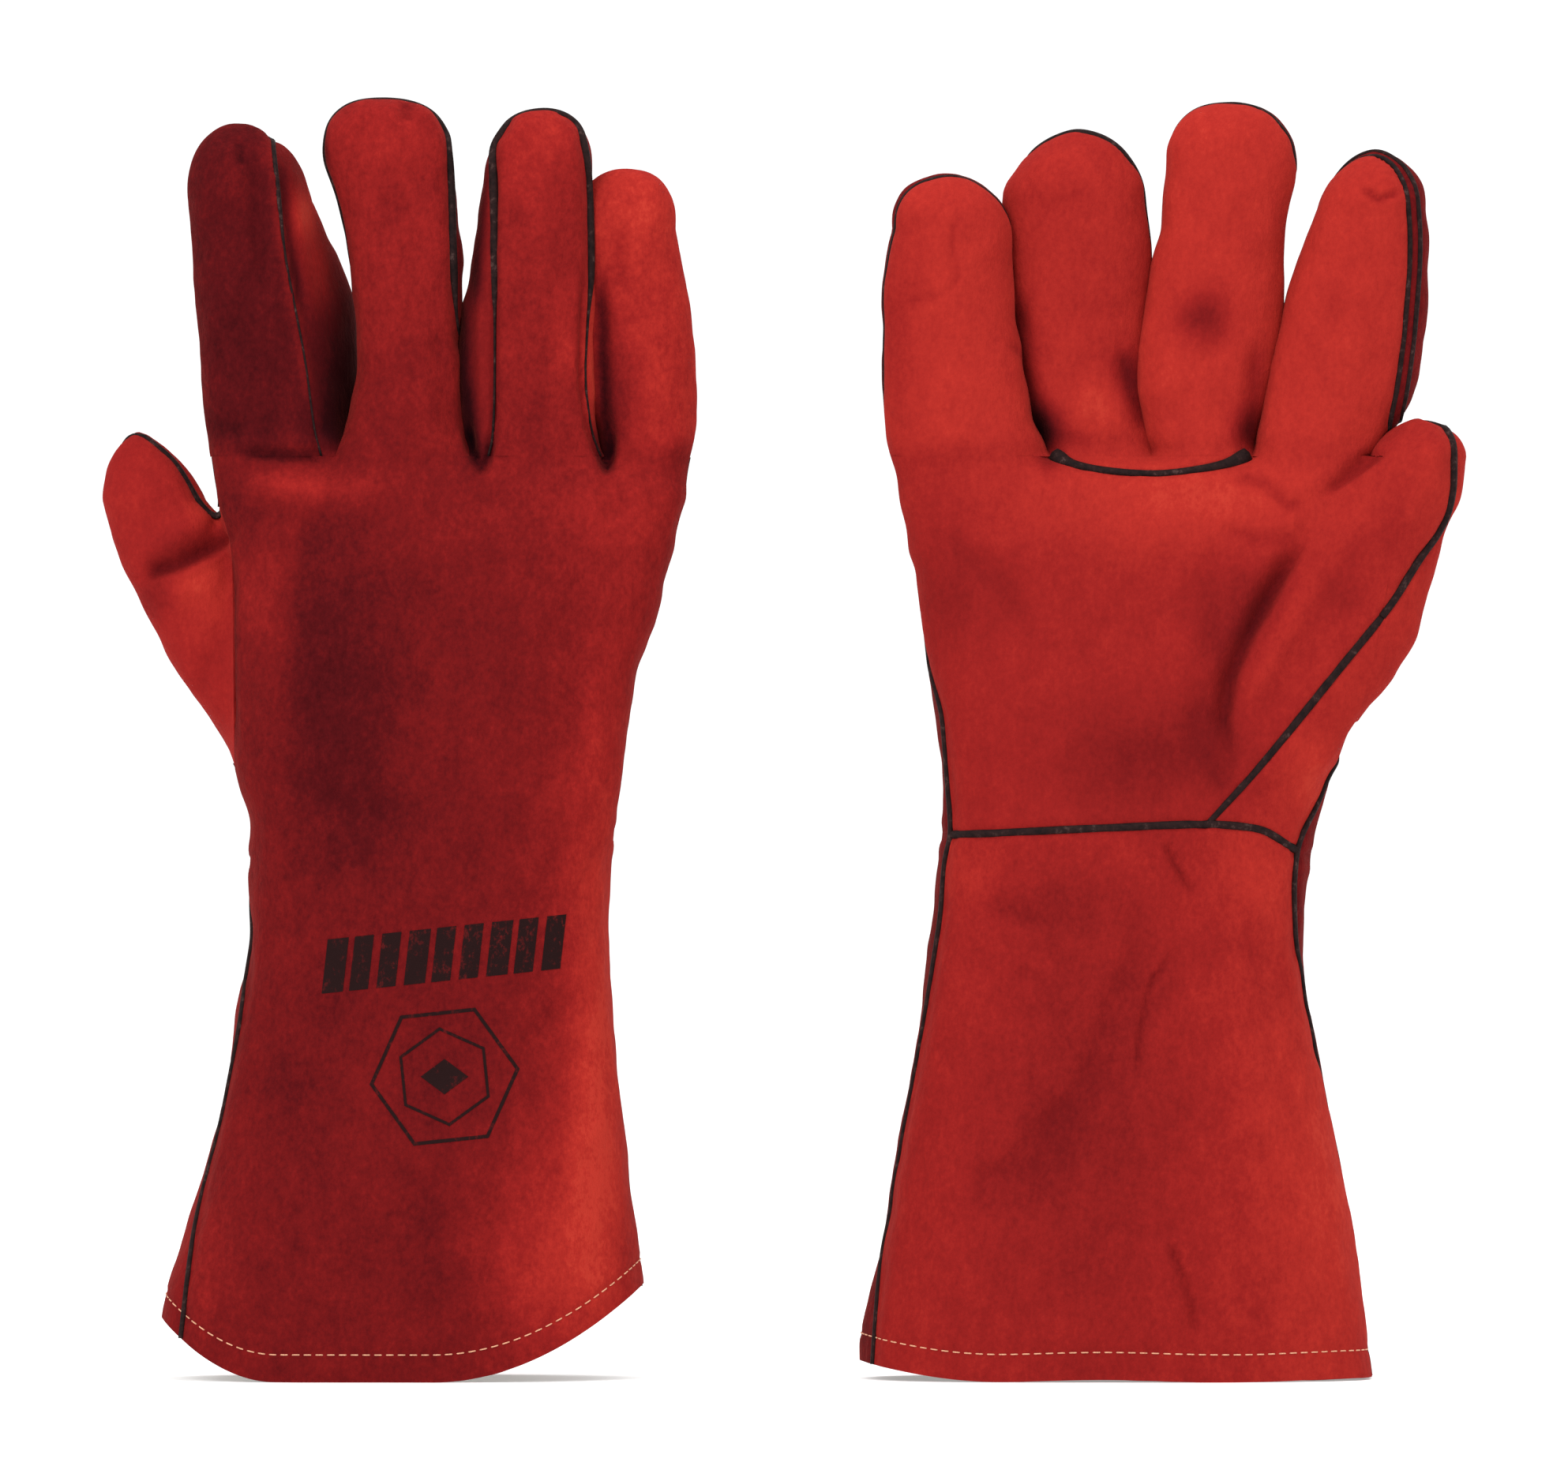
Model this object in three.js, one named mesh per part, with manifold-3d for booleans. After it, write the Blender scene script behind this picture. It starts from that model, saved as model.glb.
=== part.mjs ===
// A pair of 14 inch welding gauntlets of red split leather, standing side by side on their hems.
// Millimetres, +Z up. The origin is on the floor, half way between the two gloves.
//
// Each glove is drawn in a frame of its own: +X towards the thumb, -Y towards the palm. Both gloves are
// cut for the right hand. The first stands with its back to -Y, the second with its palm to -Y.
// The leather is a shell between an outer and an inner loft. Flat cuts divide it at the seams, where a
// black welt fills the gap, and at the creases where the leather bends.
import * as THREE from 'three';
import { mergeVertices } from 'three/addons/utils/BufferGeometryUtils.js';
import Module from 'manifold-3d';

// Driving dimensions.
const BACK_UP_X = -94.4; // the middle of the first glove
const PALM_UP_X = 95.6; // the middle of the second
const LEATHER = 1.4; // thickness of the split leather
const LINING = 1.4; // thickness of the fleece and drill lining
const WELT = 1.8; // thickness of the welt strip in each seam
const WELT_PROUD = 0.5; // how far a welt stands out of the leather
const GAP = 0.3; // clearance between neighbouring pieces
const WRIST_Z = 152; // the wrist seam, and the crease of the wrist
const FINGER_Z = 254; // the crease at the root of the fingers
const CREASE_GAP = 0.4; // half the gap at a crease
const SEAM_Y = 5; // the side seam lies this far behind the middle, towards the back of the hand
const THUMB_Y = -9; // the middle of the thumb, and its seam
const CROTCH_Z = 250; // the hand is closed at this height between the fingers
const ROOT_SEAM_Z = 245; // the seam across the palm at the root of the middle and ring fingers
const LINING_LIFT = 3; // the lining ends this far above the hem
const FAR = 400; // larger than either glove

// Corners round a ring.
const BODY_SIDES = 18;
const DIGIT_SIDES = 12;
const DOME_ANGLES = [38, 68]; // degrees, the rings that round a fingertip

// Each station is [height, middle, half width, half depth].
const BACK_UP_BODY = [
  [-4, 9, 65.5, 35],
  [33, 8, 63.5, 33],
  [77, 4.6, 54, 29],
  [120, 2.9, 48.9, 25.5],
  [WRIST_Z, 2.1, 49.6, 24],
  [184, 1.8, 54, 23.5],
  [220, -2.5, 59, 20.5],
  [240, -3.6, 63, 16.5],
  [CROTCH_Z, -3.9, 64, 12],
];
const PALM_UP_BODY = [
  [-4, -4.2, 70.5, 33],
  [33, -4.7, 65.5, 31],
  [77, -4.2, 58, 28],
  [120, -5.1, 51, 25],
  [WRIST_Z, -2, 50.6, 24],
  [184, 1.5, 55.5, 23.5],
  [220, 1.8, 60.5, 20.5],
  [240, 1.5, 64, 16.5],
  [CROTCH_Z, 1.3, 65, 12],
];

// Each digit has stations of [x, z, half width] and a tip at [x, z].
// depth is its half depth, y the middle of its thickness.
const BACK_UP_DIGITS = {
  index: {
    stations: [[41, 222, 12.5], [46, 248, 15.5], [43.8, 275, 18.8], [46, 300, 19.4], [51, 325, 16.4]],
    tip: [54, 343.5],
    depth: 13.5,
    y: 0,
  },
  middle: {
    stations: [[8.6, 222, 14], [8.6, 248, 16.4], [7.8, 285, 14.6], [13, 332, 17]],
    tip: [15, 350],
    depth: 13.5,
    y: 0,
  },
  ring: {
    stations: [[-27, 222, 14], [-27.8, 248, 16.8], [-25.6, 290, 16.2], [-27.4, 330, 14.6]],
    tip: [-28.2, 347.4],
    depth: 13.5,
    y: 0,
  },
  little: {
    stations: [[-50, 222, 9.5], [-57.6, 248, 11.8], [-56.6, 285, 13.2], [-54, 315, 11.2]],
    tip: [-52.9, 331],
    depth: 12,
    y: 0,
  },
};
const PALM_UP_DIGITS = {
  index: {
    stations: [[47, 222, 12.5], [51.6, 248, 16], [55.8, 275, 19.2], [60.6, 297, 18.8], [64.6, 322, 14.8]],
    tip: [67.4, 339.5],
    depth: 13.5,
    y: -1,
  },
  middle: {
    stations: [[20, 222, 12], [20.6, 248, 13.2], [20.4, 286, 16.2], [26.2, 334, 17.2]],
    tip: [26.6, 352.4],
    depth: 13.5,
    y: 2,
  },
  ring: {
    stations: [[-9, 222, 13], [-9.8, 248, 14.8], [-14, 286, 15.8], [-15.6, 326, 17.4]],
    tip: [-14.4, 345],
    depth: 13.5,
    y: 2,
  },
  little: {
    stations: [[-42, 222, 14], [-46, 248, 19], [-49.4, 285, 17.8], [-50.4, 316, 15.6]],
    tip: [-51, 333],
    depth: 12.5,
    y: -1,
  },
};
const BACK_UP_THUMB = {
  stations: [[34, 160, 12], [52, 192, 17], [60.5, 207, 16.6], [68.5, 221.7, 15.9], [76.9, 235.8, 14]],
  tip: [84.5, 255.5],
  depth: 11.5,
  y: THUMB_Y,
};
const PALM_UP_THUMB = {
  stations: [[36, 165, 12], [53, 196, 17.5], [62, 212, 16.5], [70.5, 229, 13.5], [77.5, 244, 12], [81.3, 254, 9.6]],
  tip: [82, 266],
  depth: 11.5,
  y: THUMB_Y,
};

// The crease between thumb and hand, just outside the hand: it passes x at this z and leans outwards.
const BACK_UP_THUMB_CUT = { x: 57, z: 165, slope: 0.09 };
const PALM_UP_THUMB_CUT = { x: 57, z: 165, slope: 0.17 };

// The first glove's hem is flat in the middle and rises in a parabola to each side.
const HEM_RISE = { thumbFrom: 45, thumbRate: 0.02, littleFrom: -10, littleRate: 0.0125 };

const wasm = await Module();
wasm.setup();

function leatherMaterial(colour) {
  return new THREE.MeshStandardMaterial({ color: colour, roughness: 0.95, metalness: 0 });
}
const MATERIALS = {
  back: leatherMaterial(0x8c1519),
  palm: leatherMaterial(0xb8241c),
  cuff: leatherMaterial(0xa51d1b),
  welt: new THREE.MeshStandardMaterial({ color: 0x1e1715, roughness: 0.8, metalness: 0 }),
  lining: new THREE.MeshStandardMaterial({ color: 0xd8cfbd, roughness: 1, metalness: 0 }),
};

// ---- Geometry ----

function solid(geometry) {
  const bare = geometry.clone();
  bare.deleteAttribute('normal');
  bare.deleteAttribute('uv');
  const merged = mergeVertices(bare, 1e-4);
  return new wasm.Manifold(
    new wasm.Mesh({
      numProp: 3,
      vertProperties: new Float32Array(merged.attributes.position.array),
      triVerts: new Uint32Array(merged.index.array),
    }),
  );
}

function box(low, high) {
  const size = high.map((h, i) => h - low[i]);
  const middle = high.map((h, i) => (h + low[i]) / 2);
  return solid(new THREE.BoxGeometry(...size).translate(...middle));
}

// A flat outline in x and z, made into a prism along y.
function prism(points) {
  const shape = new THREE.Shape(points.map(([x, z]) => new THREE.Vector2(x, z)));
  const geometry = new THREE.ExtrudeGeometry(shape, { depth: 2 * FAR, bevelEnabled: false });
  return solid(geometry.rotateX(Math.PI / 2).translate(0, FAR, 0));
}

// A ring of points on a superellipse about middle, in the plane of the side vector and Y.
function ring(middle, side, halfWidth, halfDepth, sides, power) {
  const points = [];
  for (let i = 0; i < sides; i++) {
    const angle = (2 * Math.PI * i) / sides;
    const c = Math.cos(angle);
    const s = Math.sin(angle);
    const across = halfWidth * Math.sign(c) * Math.abs(c) ** (2 / power);
    const deep = halfDepth * Math.sign(s) * Math.abs(s) ** (2 / power);
    points.push(middle.clone().addScaledVector(side, across).add(new THREE.Vector3(0, deep, 0)));
  }
  return points;
}

// A closed solid through rings of the same number of points, with a flat cap at each end.
function loft(rings) {
  const sides = rings[0].length;
  const positions = [];
  const index = [];
  for (const points of rings) for (const p of points) positions.push(p.x, p.y, p.z);
  for (const points of [rings[0], rings.at(-1)]) {
    const middle = points.reduce((sum, p) => sum.add(p), new THREE.Vector3()).divideScalar(sides);
    positions.push(middle.x, middle.y, middle.z);
  }
  const first = rings.length * sides;
  const last = first + 1;
  const topRow = (rings.length - 1) * sides;
  for (let i = 0; i < sides; i++) {
    const j = (i + 1) % sides;
    for (let r = 0; r < rings.length - 1; r++) {
      const low = r * sides;
      const high = low + sides;
      index.push(low + i, low + j, high + j, low + i, high + j, high + i);
    }
    index.push(first, j, i, last, topRow + i, topRow + j);
  }
  const geometry = new THREE.BufferGeometry();
  geometry.setAttribute('position', new THREE.Float32BufferAttribute(positions, 3));
  geometry.setIndex(index);
  return solid(geometry);
}

// The hand and cuff as one tube, closed at the crotches, made smaller all round by inset.
function bodyLoft(stations, inset) {
  const side = new THREE.Vector3(1, 0, 0);
  return loft(
    stations.map(([z, x, halfWidth, halfDepth]) => {
      const middle = new THREE.Vector3(x, 0, z === CROTCH_Z ? z - inset : z);
      return ring(middle, side, halfWidth - inset, halfDepth - inset, BODY_SIDES, 2.5);
    }),
  );
}

// A finger or thumb: rings square to its middle line, then a rounded tip.
function digitLoft({ stations, tip, depth, y }, inset) {
  const middles = stations.map(([x, z]) => new THREE.Vector3(x, y, z));
  const end = new THREE.Vector3(tip[0], y, tip[1]);
  const rings = stations.map(([, , halfWidth], i) => {
    const before = middles[Math.max(i - 1, 0)];
    const after = middles[i + 1] ?? end;
    const along = after.clone().sub(before).normalize();
    const side = new THREE.Vector3(along.z, 0, -along.x);
    const middle = i === 0 ? middles[i].clone().addScaledVector(along, inset) : middles[i];
    return ring(middle, side, halfWidth - inset, depth - inset, DIGIT_SIDES, 2.3);
  });
  const start = middles.at(-1);
  const along = end.clone().sub(start).normalize();
  const side = new THREE.Vector3(along.z, 0, -along.x);
  const height = start.distanceTo(end) - inset;
  for (const degrees of DOME_ANGLES) {
    const angle = THREE.MathUtils.degToRad(degrees);
    const middle = start.clone().addScaledVector(along, height * Math.sin(angle));
    const size = Math.cos(angle);
    const halfWidth = (stations.at(-1)[2] - inset) * size;
    rings.push(ring(middle, side, halfWidth, (depth - inset) * size, DIGIT_SIDES, 2.3));
  }
  return loft(rings);
}

// ---- Cuts ----

const above = (z) => box([-FAR, -FAR, z], [FAR, FAR, FAR]);
const below = (z) => box([-FAR, -FAR, -FAR], [FAR, FAR, z]);
const backOf = (y) => box([-FAR, y, -FAR], [FAR, FAR, FAR]);
const palmOf = (y) => box([-FAR, -FAR, -FAR], [FAR, y, FAR]);
const between = (low, high) => box([-FAR, -FAR, low], [FAR, FAR, high]);

// The four skins of a loft: the welt's outer face, the leather's two faces and the lining's two.
function skins(make) {
  return {
    welt: make(-WELT_PROUD),
    outer: make(0),
    inner: make(LEATHER),
    liningOuter: make(LEATHER + GAP),
    liningInner: make(LEATHER + GAP + LINING),
  };
}

// The leather to either side of a seam plane, the welt in the seam, and the lining, all inside region.
function seamed(skin, seamY, region) {
  const leather = skin.outer.subtract(skin.inner).intersect(region);
  const edge = WELT / 2 + GAP;
  const slab = box([-FAR, seamY - WELT / 2, -FAR], [FAR, seamY + WELT / 2, FAR]);
  return {
    back: leather.intersect(backOf(seamY + edge)),
    front: leather.intersect(palmOf(seamY - edge)),
    welt: skin.welt.subtract(skin.inner).intersect(slab).intersect(region),
    lining: skin.liningOuter.subtract(skin.liningInner).intersect(region),
  };
}

// Everything on the thumb's side of its crease.
function thumbSide({ x, z, slope }, gap) {
  const from = z - 40;
  const to = z + 120;
  return prism([
    [x + gap + slope * (from - z), from],
    [FAR, from],
    [FAR, to],
    [x + gap + slope * (to - z), to],
  ]);
}

// Everything above the hem, or above a line that is lifted clear of it.
function aboveHem(curved, lift) {
  if (!curved) return above(lift);
  const points = [];
  const step = 12;
  const reach = 84;
  for (let x = -reach; x <= reach; x += step) {
    const thumbWay = Math.max(x - HEM_RISE.thumbFrom, 0);
    const littleWay = Math.max(HEM_RISE.littleFrom - x, 0);
    points.push([x, lift + HEM_RISE.thumbRate * thumbWay ** 2 + HEM_RISE.littleRate * littleWay ** 2]);
  }
  return prism([...points, [reach, FAR], [-reach, FAR]]);
}

// ---- Pieces ----

function piece(name, made, material) {
  const { vertProperties, triVerts, numProp, numVert } = made.getMesh();
  const positions = new Float32Array(numVert * 3);
  for (let i = 0; i < numVert; i++) {
    positions.set(vertProperties.subarray(i * numProp, i * numProp + 3), i * 3);
  }
  const geometry = new THREE.BufferGeometry();
  geometry.setAttribute('position', new THREE.BufferAttribute(positions, 3));
  geometry.setIndex(new THREE.BufferAttribute(new Uint32Array(triVerts), 1));
  geometry.computeVertexNormals();
  const mesh = new THREE.Mesh(geometry, material);
  mesh.name = name;
  return mesh;
}

// A finger above its crease: back strip, front, welt and lining.
function finger(prefix, shape) {
  const seamY = SEAM_Y + shape.y;
  const parts = seamed(skins((inset) => digitLoft(shape, inset)), seamY, above(FINGER_Z + CREASE_GAP));
  const group = new THREE.Group();
  group.add(
    piece(`${prefix}_back`, parts.back, MATERIALS.back),
    piece(`${prefix}_front`, parts.front, MATERIALS.palm),
    piece(`${prefix}_welt`, parts.welt, MATERIALS.welt),
    piece(`${prefix}_lining`, parts.lining, MATERIALS.lining),
  );
  return group;
}

function thumb(prefix, skin, cut) {
  const parts = seamed(skin, THUMB_Y, thumbSide(cut, CREASE_GAP));
  const group = new THREE.Group();
  group.add(
    piece(`${prefix}_thumb_back`, parts.back, MATERIALS.palm),
    piece(`${prefix}_thumb_front`, parts.front, MATERIALS.palm),
    piece(`${prefix}_thumb_welt`, parts.welt, MATERIALS.welt),
    piece(`${prefix}_thumb_lining`, parts.lining, MATERIALS.lining),
  );
  return group;
}

// The hand between its creases. A welt crosses the palm side at the root of the middle and ring fingers.
// The side seams have welts; between the fingers the palm leather turns over the crotch to meet the back.
function hand(prefix, skin, cut, digits) {
  const top = FINGER_Z - CREASE_GAP;
  const region = between(WRIST_Z + CREASE_GAP, top).subtract(thumbSide(cut, -CREASE_GAP));
  const parts = seamed(skin, SEAM_Y, region);
  const edge = (shape, sign) => shape.stations[1][0] + sign * shape.stations[1][2];
  const low = edge(digits.ring, -1);
  const high = edge(digits.middle, 1);
  const weltFront = SEAM_Y - WELT / 2 - GAP;
  const rootSeam = (gap) =>
    box([low - gap, -FAR, ROOT_SEAM_Z - WELT / 2 - gap], [high + gap, weltFront, ROOT_SEAM_Z + WELT / 2 + gap]);
  const rootWelt = skin.welt.subtract(skin.inner).intersect(region).intersect(rootSeam(0));
  const thumbward = digits.index.stations[1][0];
  const littleward = digits.little.stations[1][0];
  const turnover = box([littleward, weltFront - GAP, -FAR], [thumbward, SEAM_Y + WELT / 2, FAR]);
  const crotches = skin.outer.subtract(skin.inner).intersect(region).intersect(turnover);
  const thumbWelt = parts.welt.intersect(box([thumbward, -FAR, -FAR], [FAR, FAR, FAR]));
  const littleWelt = parts.welt.intersect(box([-FAR, -FAR, -FAR], [littleward, FAR, FAR]));
  const group = new THREE.Group();
  group.add(
    piece(`${prefix}_hand_back`, parts.back, MATERIALS.back),
    piece(`${prefix}_palm`, parts.front.subtract(rootSeam(GAP)).add(crotches), MATERIALS.palm),
    piece(`${prefix}_hand_lining`, parts.lining, MATERIALS.lining),
    piece(`${prefix}_finger_root_welt`, rootWelt, MATERIALS.welt),
    piece(`${prefix}_hand_welt_thumb_side`, thumbWelt, MATERIALS.welt),
    piece(`${prefix}_hand_welt_little_side`, littleWelt, MATERIALS.welt),
  );
  return group;
}

// The gauntlet. Its two side welts and the wrist welt across the palm side are one piece.
function cuff(prefix, skin, curvedHem) {
  const top = WRIST_Z - CREASE_GAP;
  const region = below(top).intersect(aboveHem(curvedHem, 0));
  const parts = seamed(skin, SEAM_Y, region);
  const wristFrom = top - WELT;
  const weltFront = SEAM_Y - WELT / 2;
  const wristBand = box([-FAR, -FAR, wristFrom], [FAR, weltFront + GAP, top]);
  const wristWelt = skin.welt.subtract(skin.inner).intersect(wristBand);
  const clear = below(wristFrom - GAP);
  const sideWelts = parts.welt.intersect(aboveHem(curvedHem, LINING_LIFT / 2));
  const group = new THREE.Group();
  group.add(
    piece(`${prefix}_cuff_back`, parts.back, MATERIALS.back),
    piece(`${prefix}_cuff_palm`, parts.front.intersect(clear), MATERIALS.cuff),
    piece(`${prefix}_cuff_welt`, sideWelts.add(wristWelt), MATERIALS.welt),
    piece(`${prefix}_cuff_lining`, parts.lining.intersect(aboveHem(curvedHem, LINING_LIFT)), MATERIALS.lining),
  );
  return group;
}

function glove(prefix, { body, thumbShape, thumbCut, digits, curvedHem }) {
  const shapes = [thumbShape, ...Object.values(digits)];
  const skin = skins((inset) =>
    shapes.reduce((sum, shape) => sum.add(digitLoft(shape, inset)), bodyLoft(body, inset)),
  );
  const group = new THREE.Group();
  group.add(cuff(prefix, skin, curvedHem), hand(prefix, skin, thumbCut, digits));
  group.add(thumb(prefix, skins((inset) => digitLoft(thumbShape, inset)), thumbCut));
  for (const [name, shape] of Object.entries(digits)) group.add(finger(`${prefix}_${name}`, shape));
  return group;
}

const backUp = glove('glove1', {
  body: BACK_UP_BODY,
  thumbShape: BACK_UP_THUMB,
  thumbCut: BACK_UP_THUMB_CUT,
  digits: BACK_UP_DIGITS,
  curvedHem: true,
});
backUp.position.x = BACK_UP_X;
backUp.rotation.z = Math.PI;

const palmUp = glove('glove2', {
  body: PALM_UP_BODY,
  thumbShape: PALM_UP_THUMB,
  thumbCut: PALM_UP_THUMB_CUT,
  digits: PALM_UP_DIGITS,
  curvedHem: false,
});
palmUp.position.x = PALM_UP_X;

const pair = new THREE.Group();
pair.add(backUp, palmUp);

export default pair;
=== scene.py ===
"""A pair of split leather welding gauntlets, standing on their hems on a pale floor.

Each glove's leather is one smooth surface round a body, four fingers and a thumb. It is found on a
grid, given its folds and seams, and then cut into panels along the seams. Lengths are in
millimetres until a mesh is made. X and Z are the frame's, and the camera looks along +Y. The first
glove shows its back to the camera, the second its palm.
"""

import math
from functools import reduce
from itertools import product

import bpy
import numpy as np
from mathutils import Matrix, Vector
from mathutils.bvhtree import BVHTree


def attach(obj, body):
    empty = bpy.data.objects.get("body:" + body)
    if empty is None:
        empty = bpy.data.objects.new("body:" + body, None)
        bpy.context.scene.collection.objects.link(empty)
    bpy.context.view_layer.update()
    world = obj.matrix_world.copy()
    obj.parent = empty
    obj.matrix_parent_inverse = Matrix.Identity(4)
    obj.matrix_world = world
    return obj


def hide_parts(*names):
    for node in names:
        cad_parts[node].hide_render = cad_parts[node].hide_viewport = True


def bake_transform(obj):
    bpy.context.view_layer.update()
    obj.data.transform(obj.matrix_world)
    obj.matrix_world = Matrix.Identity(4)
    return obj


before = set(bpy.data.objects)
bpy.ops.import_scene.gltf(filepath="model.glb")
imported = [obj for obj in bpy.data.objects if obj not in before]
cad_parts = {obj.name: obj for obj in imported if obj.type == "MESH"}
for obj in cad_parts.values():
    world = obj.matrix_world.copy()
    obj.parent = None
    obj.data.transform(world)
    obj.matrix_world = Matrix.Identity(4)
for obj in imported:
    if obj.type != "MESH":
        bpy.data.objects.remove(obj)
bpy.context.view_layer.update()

MM = 0.001
STEP = 1.25  # grid of the leather's surface
LINING_STEP = 2.5
LEATHER = 1.3
LINING = 1.2
LINING_INSET = 1.7  # from the leather's outside to the lining's
DIGIT_DEEPER = 0.5  # how much deeper the linings of the digits lie
TURNED_DEEPER = 1.4  # and that of a finger turned on its side
LINING_HEM = 4.0  # from the leather's edge up to the lining's
FUSE = 5.0  # how softly the digits run into the hand
FOOT_LENGTH = 8.0  # over which a digit closes inside the hand
WRIST_Z = 152.0
WRIST_BEND = (138.0, 166.0)
ROOT_Z = 252.0  # the fingers are separate tubes above this height
ROOT_BEND = 24.0
THUMB_Z = 157.0  # the thumb is a piece of its own above this height
THUMB_BEND_Z = 200.0
HEM_STITCH_LIFT = 7.5
AWAY = 50.0  # what a seam's function gives where there is no seam
FINGERS = ("index", "middle", "ring", "little")
BACK_UP_X = -94.4
PALM_UP_X = 95.6


# ---------------------------------------------------------------- shapes of the two gloves

# Edges and seams are lines of (z, x) points, or (z, y) for seam_y, and welts of (z, radius) points.


def mirrored(points):
    """A (z, x) line of the palm-up glove, as it runs on the far side of the back-up glove."""
    return [(z, BACK_UP_X - (x - PALM_UP_X)) for z, x in points]


BODY_DEPTH = [
    (-10, 33.5), (33, 32.5), (77, 28.5), (120, 25), (152, 23.6), (184, 23), (220, 20), (240, 16.5),
    (252, 13.5),
]

THUMB_SEAM = [
    (150, 113.5), (166.6, 128.7), (195.7, 152.4), (211.9, 165.4), (223.8, 172.9), (231.3, 178.3),
    (236.7, 180.9), (245.4, 182.2), (254, 182.2), (260.5, 179.4), (263, 174),
]

BACK_UP = dict(
    name="glove1", x0=BACK_UP_X, palm_to_camera=False,
    left=[
        (-10, -172.4), (12, -171), (24, -169.6), (36, -165.2), (60, -157.4), (84, -151.9),
        (104, -149.2), (122, -146.2), (150, -145.9), (170, -150), (222, -150.6), (240, -152.4),
    ],
    right=[
        (-10, -36.4), (24, -38.6), (60, -43.1), (96, -47.2), (120, -48.8), (144, -47.4),
        (168, -44.2), (192, -41.4), (216, -34.2), (240, -28),
    ],
    crown=(240, -91, 251.5, 3.0), side_seam_y=5.0,
    seam_left=[
        (-10, -167), (14, -164.2), (42, -160.8), (77, -152.4), (113, -147.2), (128, -148),
        (150, -160),
    ],
    digits=dict(
        index=dict(
            left=[(222, -151), (252, -156.8), (270, -159.5), (304, -162), (322, -163.3)],
            right=[
                (222, -128), (252, -120), (270, -116.6), (290, -117.2), (304, -120.6), (316, -126),
                (322, -129.2),
            ],
            tip=(322, -150, 343, 1.8), depth=13.0, y=2.0, seam_y=[(250, 5), (344, 4)],
            seam_right=[
                (240, -125), (250, -126), (258, -128.1), (277, -130.7), (292, -133.5),
                (307, -136.3), (327, -138.6), (340, -140.2),
            ],
            turned=0.75, welt=[(250, 0.3), (306, 0.38), (324, 0.75), (345, 0.8)],
        ),
        middle=dict(
            left=[
                (222, -116), (251, -123), (258, -120), (266, -117.8), (277, -116.3), (292, -117.3),
                (304, -118.9), (316, -121), (332, -125.2),
            ],
            right=[
                (222, -90), (251, -83.5), (258, -86), (266, -87.4), (277, -88), (292, -88),
                (304, -88), (316, -89), (332, -90.6),
            ],
            tip=(332, -110, 349.2, 2.7), depth=13.0, y=-1.5,
            seam_y=[(250, 4), (300, 2), (322, -2), (350, -2)],
            seam_right=[
                (262, -78), (275, -84), (286, -89.2), (297, -90.2), (310, -90.8), (325, -91.2),
                (338, -92.2), (346, -95.6), (350, -100),
            ],
            welt=[(262, 0.5), (290, 0.6), (304, 1.4), (350, 1.5)],
        ),
        ring=dict(
            left=[
                (222, -79), (250, -86.5), (264, -89.6), (277, -90), (292, -88.6), (298, -87),
                (304, -85.8), (316, -84), (326, -82.2),
            ],
            right=[
                (222, -55), (250, -50), (266, -52.2), (281, -52.6), (296, -51.3), (314, -51.6),
                (326, -52.5),
            ],
            tip=(326, -66.5, 347, 2.4), depth=13.0, y=-1.0, seam_y=[(250, 4), (347, -2)],
            seam_left=[
                (244, -84), (250, -81.5), (258, -79.6), (277, -79.1), (314, -79.1), (336, -79.6),
                (342, -76),
            ],
            seam_right=[
                (244, -46), (250, -49.4), (260, -53), (275, -54.5), (288, -53.9), (303, -53),
                (327, -53.6), (342, -56.2), (346, -61),
            ],
            welt=[(250, 0.35), (288, 0.45), (304, 1.3), (347, 1.4)],
        ),
        little=dict(
            left=[(222, -50), (250, -50), (270, -54), (300, -57), (314, -57.5)],
            right=[
                (222, -33), (240, -28.5), (250, -26), (262, -24.4), (280, -24.7), (298, -27),
                (314, -30),
            ],
            tip=(314, -43.3, 330.4, 2.3), depth=11.5, y=4.5, seam_y=[(250, 8), (331, 7)],
            welt=[(250, 0.5), (330, 0.8)],
        ),
        thumb=dict(
            left=[
                (160, -142), (168, -148.4), (180, -156.6), (192, -166.2), (204, -172.7),
                (216, -178.3), (228, -183.4), (240, -186.3),
            ],
            right=[
                (160, -134), (180, -138), (204, -144), (228, -150.4), (234, -154.2), (240, -159.4),
            ],
            tip=(240, -177.4, 259, 1.4), depth=11.5, y=9.0, seam_y=[(150, 7), (258, 7)],
            seam_tilt=-0.28, seam_far=mirrored(THUMB_SEAM), welt=[(160, 0.9), (258, 1.1)],
        ),
    ),
    thumb_cut=[(140, -149.8), (170, -150.3), (224, -151), (240, -155), (262, -165)],
    thumb_bend=(-159.0, -174.0),
)

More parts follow.
